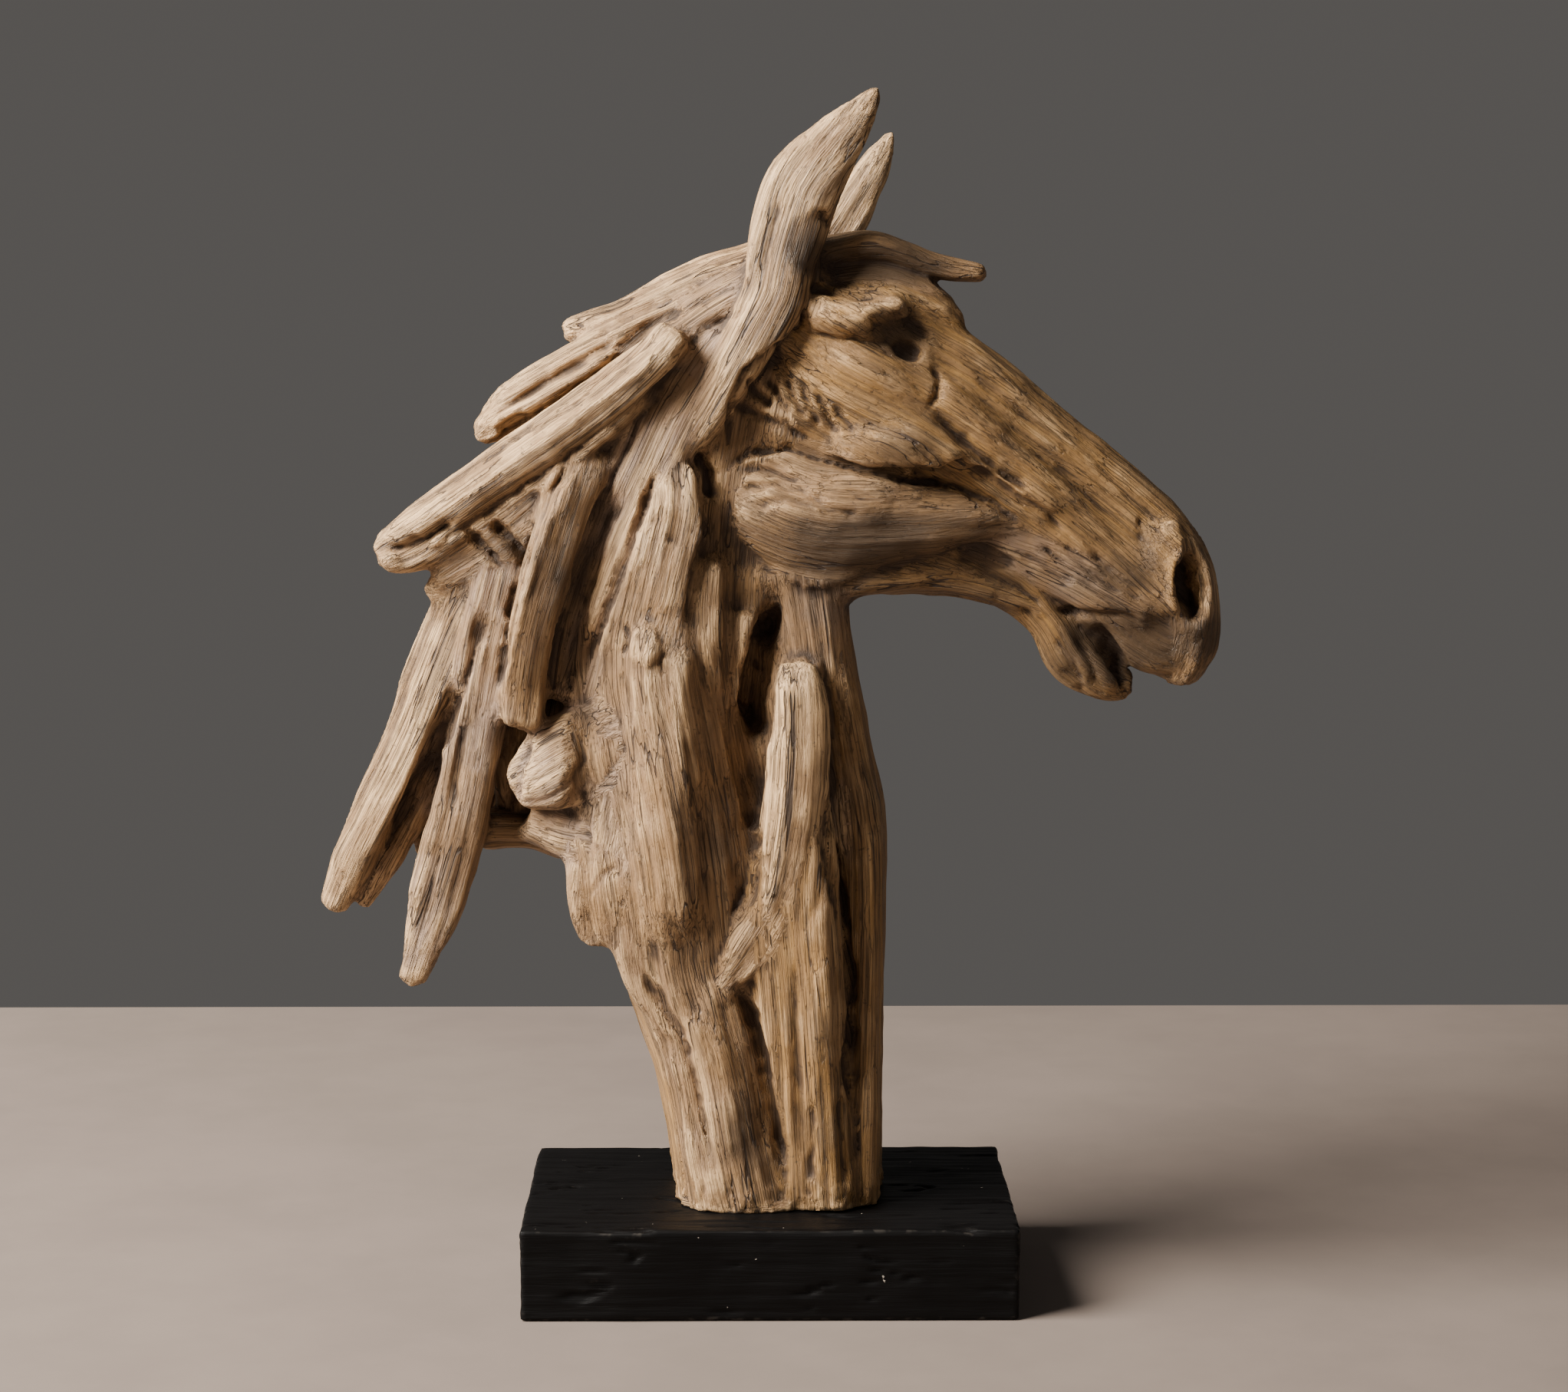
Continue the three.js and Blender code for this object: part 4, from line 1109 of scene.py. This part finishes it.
def driftwood_material(settings):
    """Weathered wood: streaks along the grain, dark cracks, ridges paled as a painted highlight, and hollows
    and stained patches darkened as painted shade.
    """
    material, tree, shader = new_material("driftwood")
    grain = add_node(tree, "ShaderNodeAttribute", attribute_name="grain").outputs["Vector"]
    place = add_node(tree, "ShaderNodeTexCoord").outputs["Object"]
    fibre = stretched_noise(tree, grain, (0.030, 0.9, 0.9), 5.0, 0.65)
    streak = stretched_noise(tree, grain, (0.008, 0.19, 0.19), 4.0, 0.55)
    patch = even_noise(tree, place, 26.0, 4.0, 0.6)
    fleck = even_noise(tree, place, 420.0, 3.0, 0.6)
    coarse = stretched_noise(tree, grain, (0.010, 0.34, 0.34), 3.0, 0.55)
    hair = thin_lines(tree, grain, (0.006, 0.55, 0.55), 0.032, (0.009, 0.08, 0.08), 0.40, 0.55)
    crack = thin_lines(tree, grain, (0.005, 0.19, 0.19), 0.018, (0.008, 0.045, 0.045), 0.46, 0.58)
    dip_small = attribute(tree, "dip_small")
    dip_large = attribute(tree, "dip_large")

    # Painted highlight: convex ridges, found from the small dips, are mixed towards cream.
    ridge = ranged(tree, dip_small, 0.03, -0.32)
    pale = combined(tree, "MULTIPLY_ADD", attribute(tree, "pale"), 0.55)
    pale.node.inputs[2].default_value = -0.30
    pale = combined(tree, "ADD", pale, ranged(tree, streak, 0.35, 0.7, -0.25, 0.35))
    pale = combined(tree, "ADD", pale, combined(tree, "MULTIPLY", ridge, 0.6))
    pale = combined(tree, "ADD", pale, ranged(tree, patch, 0.35, 0.65, -0.3, 0.25))
    # The stain value carries painted shade for undersides and recesses as well as real stains; it takes away
    # pale.
    stain_and_shade = attribute(tree, "stain_and_shade")
    pale = combined(tree, "SUBTRACT", pale, combined(tree, "MULTIPLY", stain_and_shade, 0.6))
    pale.node.use_clamp = True
    grey = combined(tree, "MULTIPLY", attribute(tree, "grey"), ranged(tree, patch, 0.4, 0.6, 0.1, 0.8))
    gold = combined(tree, "MULTIPLY", attribute(tree, "gold"), ranged(tree, streak, 0.4, 0.65, 0.25, 0.9))

    colour = mixed(tree, gold, settings.tan, settings.gold)
    colour = mixed(tree, grey, colour, settings.grey)
    colour = mixed(tree, pale, colour, settings.cream)
    umber = [0.4 * share for share in settings.tan]
    grain_and_shade_dark = [0.25 * share for share in settings.tan]
    colour = mixed(tree, ranged(tree, fibre, 0.52, 0.32, 0.0, 0.75), colour, umber)
    colour = mixed(tree, ranged(tree, coarse, 0.52, 0.32, 0.0, 0.6), colour, umber)
    # Painted shade and real stains, with random patches, darken towards a dark brown that also colours the
    # hair lines.
    dirt_and_shade = combined(tree, "ADD", stain_and_shade, ranged(tree, patch, 0.3, 0.7, -0.45, 0.45))
    colour = mixed(tree, ranged(tree, dirt_and_shade, 0.0, 1.4, 0.0, 0.88), colour, grain_and_shade_dark)
    colour = mixed(tree, combined(tree, "MULTIPLY", hair, 0.7), colour, grain_and_shade_dark)
    colour = mixed(tree, combined(tree, "MULTIPLY", crack, 0.9), colour, settings.crack_and_shade)
    colour = mixed(tree, ranged(tree, fleck, 0.38, 0.30, 0.0, 0.6), colour, settings.crack_and_shade)
    # Painted shade: hollows and creases, found from the dips of the surface, are darkened towards the crack
    # colour.
    painted_hollow_shade = ranged(tree, dip_large, 0.4, 2.6, 0.0, 0.9)
    painted_hollow_shade = combined(tree, "MAXIMUM", painted_hollow_shade, ranged(tree, dip_small, 0.04, 0.45, 0.0, 0.82))
    colour = mixed(tree, painted_hollow_shade, colour, settings.crack_and_shade)
    tree.links.new(colour, shader.inputs["Base Color"])
    tree.links.new(ranged(tree, fibre, 0.3, 0.7, 0.75, 0.50), shader.inputs["Roughness"])
    shader.inputs["Specular IOR Level"].default_value = 0.45
    height = combined(tree, "ADD", fibre, combined(tree, "MULTIPLY", fleck, 0.25))
    height = combined(tree, "SUBTRACT", height, combined(tree, "MULTIPLY", hair, 0.5))
    height = combined(tree, "SUBTRACT", height, crack)
    height = combined(tree, "ADD", height, combined(tree, "MULTIPLY", coarse, 1.2))
    bump = add_node(tree, "ShaderNodeBump", {"Strength": 0.9, "Distance": 0.0013, "Height": height})
    tree.links.new(bump.outputs["Normal"], shader.inputs["Normal"])
    return material


def block_material(settings):
    """Satin black paint over grained wood, worn pale in specks and along edges."""
    material, tree, shader = new_material("black_paint")
    place = add_node(tree, "ShaderNodeTexCoord").outputs["Object"]
    fibre = stretched_noise(tree, place, (14.0, 320.0, 320.0), 4.0, 0.6)
    chip = even_noise(tree, place, 210.0, 2.0, 0.5)
    worn = ranged(tree, attribute(tree, "dip_small"), -0.2, -0.6, 0.0, 0.08)
    worn = combined(tree, "MULTIPLY", worn, ranged(tree, chip, 0.5, 0.66))
    speck = ranged(tree, chip, 0.765, 0.785)
    share = combined(tree, "MAXIMUM", worn, speck)
    tree.links.new(mixed(tree, share, settings.black, settings.worn), shader.inputs["Base Color"])
    tree.links.new(ranged(tree, fibre, 0.3, 0.7, 0.6, 0.42), shader.inputs["Roughness"])
    shader.inputs["Specular IOR Level"].default_value = 0.12
    bump = add_node(tree, "ShaderNodeBump", {"Strength": 0.6, "Distance": 0.0010, "Height": fibre})
    tree.links.new(bump.outputs["Normal"], shader.inputs["Normal"])
    return material


def floor_material(settings):
    """Plain pale stone with a faint cloud."""
    material, tree, shader = new_material("pale_floor")
    place = add_node(tree, "ShaderNodeTexCoord").outputs["Object"]
    cloud = even_noise(tree, place, 9.0, 6.0, 0.65)
    shade = ranged(tree, cloud, 0.3, 0.7)
    darker = [0.88 * share for share in settings.floor]
    tree.links.new(mixed(tree, shade, darker, settings.floor), shader.inputs["Base Color"])
    shader.inputs["Roughness"].default_value = 0.8
    return material


# Pieces

def add_piece(name, mesh, material):
    """Puts a finished mesh in the scene."""
    mesh.name = name
    mesh.shade_smooth()
    mesh.materials.clear()
    mesh.materials.append(material)
    piece = bpy.data.objects.new(name, mesh)
    bpy.context.scene.collection.objects.link(piece)
    return piece


def block_mesh(settings):
    """The block: a box with softened edges, wandering faces and grain along its length."""
    body = bmesh.new()
    bmesh.ops.create_cube(body, size=2.0)
    half = np.array([BLOCK_HALF[0], BLOCK_HALF[1], BLOCK_TOP / 2])
    for vertex in body.verts:
        vertex.co = (np.array(vertex.co) * half + np.array([0, 0, half[2]])) * MM
    bmesh.ops.bevel(
        body, geom=list(body.edges), offset=settings.edge, segments=3, profile=0.5,
        affect="EDGES", material=-1)
    mesh = bpy.data.meshes.new("base_block_cut")
    body.to_mesh(mesh)
    body.free()
    mesh = voxel_joined(mesh, BLOCK_VOXEL)
    places = vertex_places(mesh)
    normals = vertex_normals(mesh)
    wander = settings.waviness / MM * noise(places / np.array(BROAD_WAVE), 21)
    wander += FINE_WAVE_SHARE * settings.waviness / MM * noise(places / np.array(FINE_WAVE), 22)
    groove = noise(places / np.array(PLANK_GRAIN), 23)
    split = np.abs(noise(places / np.array(SPLIT_LINES), 24))
    split_mask = smooth_step(noise(places / np.array(SPLIT_PATCHES), 25), 0.05, 0.3)
    height = wander - FACE_INSET + PLANK_GRAIN_HEIGHT * groove
    height -= SPLIT_DEPTH * smooth_step(split, 0.08, 0.01) * split_mask
    standing = smooth_step(places[:, 2], 0.5, 3.0)
    places = places + normals * (height * standing)[:, None]
    places[:, 2] = np.clip(places[:, 2], 0, BLOCK_TOP)
    place_vertices(mesh, places)
    mesh = thinned(mesh, BLOCK_TRIANGLES)
    places = vertex_places(mesh)
    worn = dip(places, vertex_normals(mesh), edge_ends(mesh), SMALL_DIP_STEPS)
    store(mesh, "dip_small", "FLOAT", worn)
    return mesh


class DRIFTWOOD_OT_head(bpy.types.Operator):
    """Carve the driftwood head and neck"""

    bl_idname = "driftwood.carve_head"
    bl_label = "Carve Head"

    def execute(self, context):
        settings = context.scene.driftwood
        mesh = carved_head(settings)
        head = add_piece("driftwood_head", mesh, driftwood_material(settings))
        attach(head, "root")
        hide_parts("horse_head")
        return {"FINISHED"}


class DRIFTWOOD_OT_block(bpy.types.Operator):
    """Make the black block"""

    bl_idname = "driftwood.make_block"
    bl_label = "Make Block"

    def execute(self, context):
        settings = context.scene.driftwood_block
        block = add_piece("black_block", block_mesh(settings), block_material(settings))
        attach(block, "root")
        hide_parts("base_block")
        return {"FINISHED"}


# Stage, in metres

FLOOR_HALF_WIDTH = 2.2
FLOOR_FRONT = -2.2
FLOOR_BACK = 0.55
CAMERA_PLACE = (-0.00494, -1.4421, 0.4493)
CAMERA_PITCH = 0.1272
CAMERA_YAW = 0.0081
SENSOR_WIDTH = 36.0
LIGHT_AIM = (0, 0, 0.28)
KEY_PLACE = (-1.64, -0.66, 1.55)
KEY_SIZE = 1.3
KEY_COLOUR = (1.0, 0.95, 0.88)
FILL_PLACE = (1.1, -1.5, 0.7)
FILL_SIZE = 1.4
FILL_COLOUR = (1.0, 0.97, 0.94)


def add_light(name, place, power, size, colour):
    """A soft square light that points at the head."""
    lamp = bpy.data.lights.new(name, "AREA")
    lamp.energy = power
    lamp.size = size
    lamp.color = colour
    light = bpy.data.objects.new(name, lamp)
    light.location = place
    way = np.array(LIGHT_AIM) - np.array(place)
    lean = math.atan2(math.hypot(way[0], way[1]), -way[2])
    light.rotation_euler = (lean, 0, math.atan2(way[1], way[0]) - math.pi / 2)
    bpy.context.scene.collection.objects.link(light)


class DRIFTWOOD_OT_stage(bpy.types.Operator):
    """Set the floor, the lights and the camera"""

    bl_idname = "driftwood.set_stage"
    bl_label = "Set Stage"

    def execute(self, context):
        settings = context.scene.driftwood_stage
        ground = bmesh.new()
        bmesh.ops.create_grid(ground, x_segments=2, y_segments=2, size=1.0)
        for vertex in ground.verts:
            share = (vertex.co.y + 1) / 2
            vertex.co.x *= FLOOR_HALF_WIDTH
            vertex.co.y = FLOOR_FRONT + share * (FLOOR_BACK - FLOOR_FRONT)
        mesh = bpy.data.meshes.new("floor")
        ground.to_mesh(mesh)
        ground.free()
        add_piece("floor", mesh, floor_material(settings))

        world = bpy.data.worlds.new("plain_surround")
        world.use_nodes = True
        world.node_tree.nodes["Background"].inputs["Color"].default_value = (*settings.surround, 1.0)
        context.scene.world = world

        add_light("key", KEY_PLACE, settings.key_power, KEY_SIZE, KEY_COLOUR)
        add_light("fill", FILL_PLACE, settings.fill_power, FILL_SIZE, FILL_COLOUR)

        lens = bpy.data.cameras.new("camera")
        lens.lens = settings.lens
        lens.sensor_width = SENSOR_WIDTH
        camera = bpy.data.objects.new("camera", lens)
        camera.location = CAMERA_PLACE
        camera.rotation_euler = (math.pi / 2 - CAMERA_PITCH, 0, -CAMERA_YAW)
        context.scene.collection.objects.link(camera)
        context.scene.camera = camera
        return {"FINISHED"}


class DRIFTWOOD_PT_panel(bpy.types.Panel):
    """Lists the pieces and their settings"""

    bl_idname = "DRIFTWOOD_PT_panel"
    bl_label = "Driftwood Horse Head"
    bl_space_type = "VIEW_3D"
    bl_region_type = "UI"
    bl_category = "Driftwood"

    def draw(self, context):
        scene = context.scene
        for group, operator in (
                (scene.driftwood, DRIFTWOOD_OT_head),
                (scene.driftwood_block, DRIFTWOOD_OT_block),
                (scene.driftwood_stage, DRIFTWOOD_OT_stage)):
            box = self.layout.box()
            for key in group.bl_rna.properties.keys():
                if key not in {"rna_type", "name"}:
                    box.prop(group, key)
            box.operator(operator.bl_idname)


CLASSES = (
    DriftwoodSettings, BlockSettings, StageSettings,
    DRIFTWOOD_OT_head, DRIFTWOOD_OT_block, DRIFTWOOD_OT_stage, DRIFTWOOD_PT_panel,
)


def register():
    """Adds the classes and the settings to Blender."""
    for item in CLASSES:
        bpy.utils.register_class(item)
    bpy.types.Scene.driftwood = PointerProperty(type=DriftwoodSettings)
    bpy.types.Scene.driftwood_block = PointerProperty(type=BlockSettings)
    bpy.types.Scene.driftwood_stage = PointerProperty(type=StageSettings)


def unregister():
    """Takes the classes and the settings out of Blender."""
    del bpy.types.Scene.driftwood_stage
    del bpy.types.Scene.driftwood_block
    del bpy.types.Scene.driftwood
    for item in reversed(CLASSES):
        bpy.utils.unregister_class(item)


def main():
    """Builds the whole scene."""
    register()
    bpy.ops.driftwood.carve_head()
    bpy.ops.driftwood.make_block()
    bpy.ops.driftwood.set_stage()


if __name__ == "__main__":
    main()
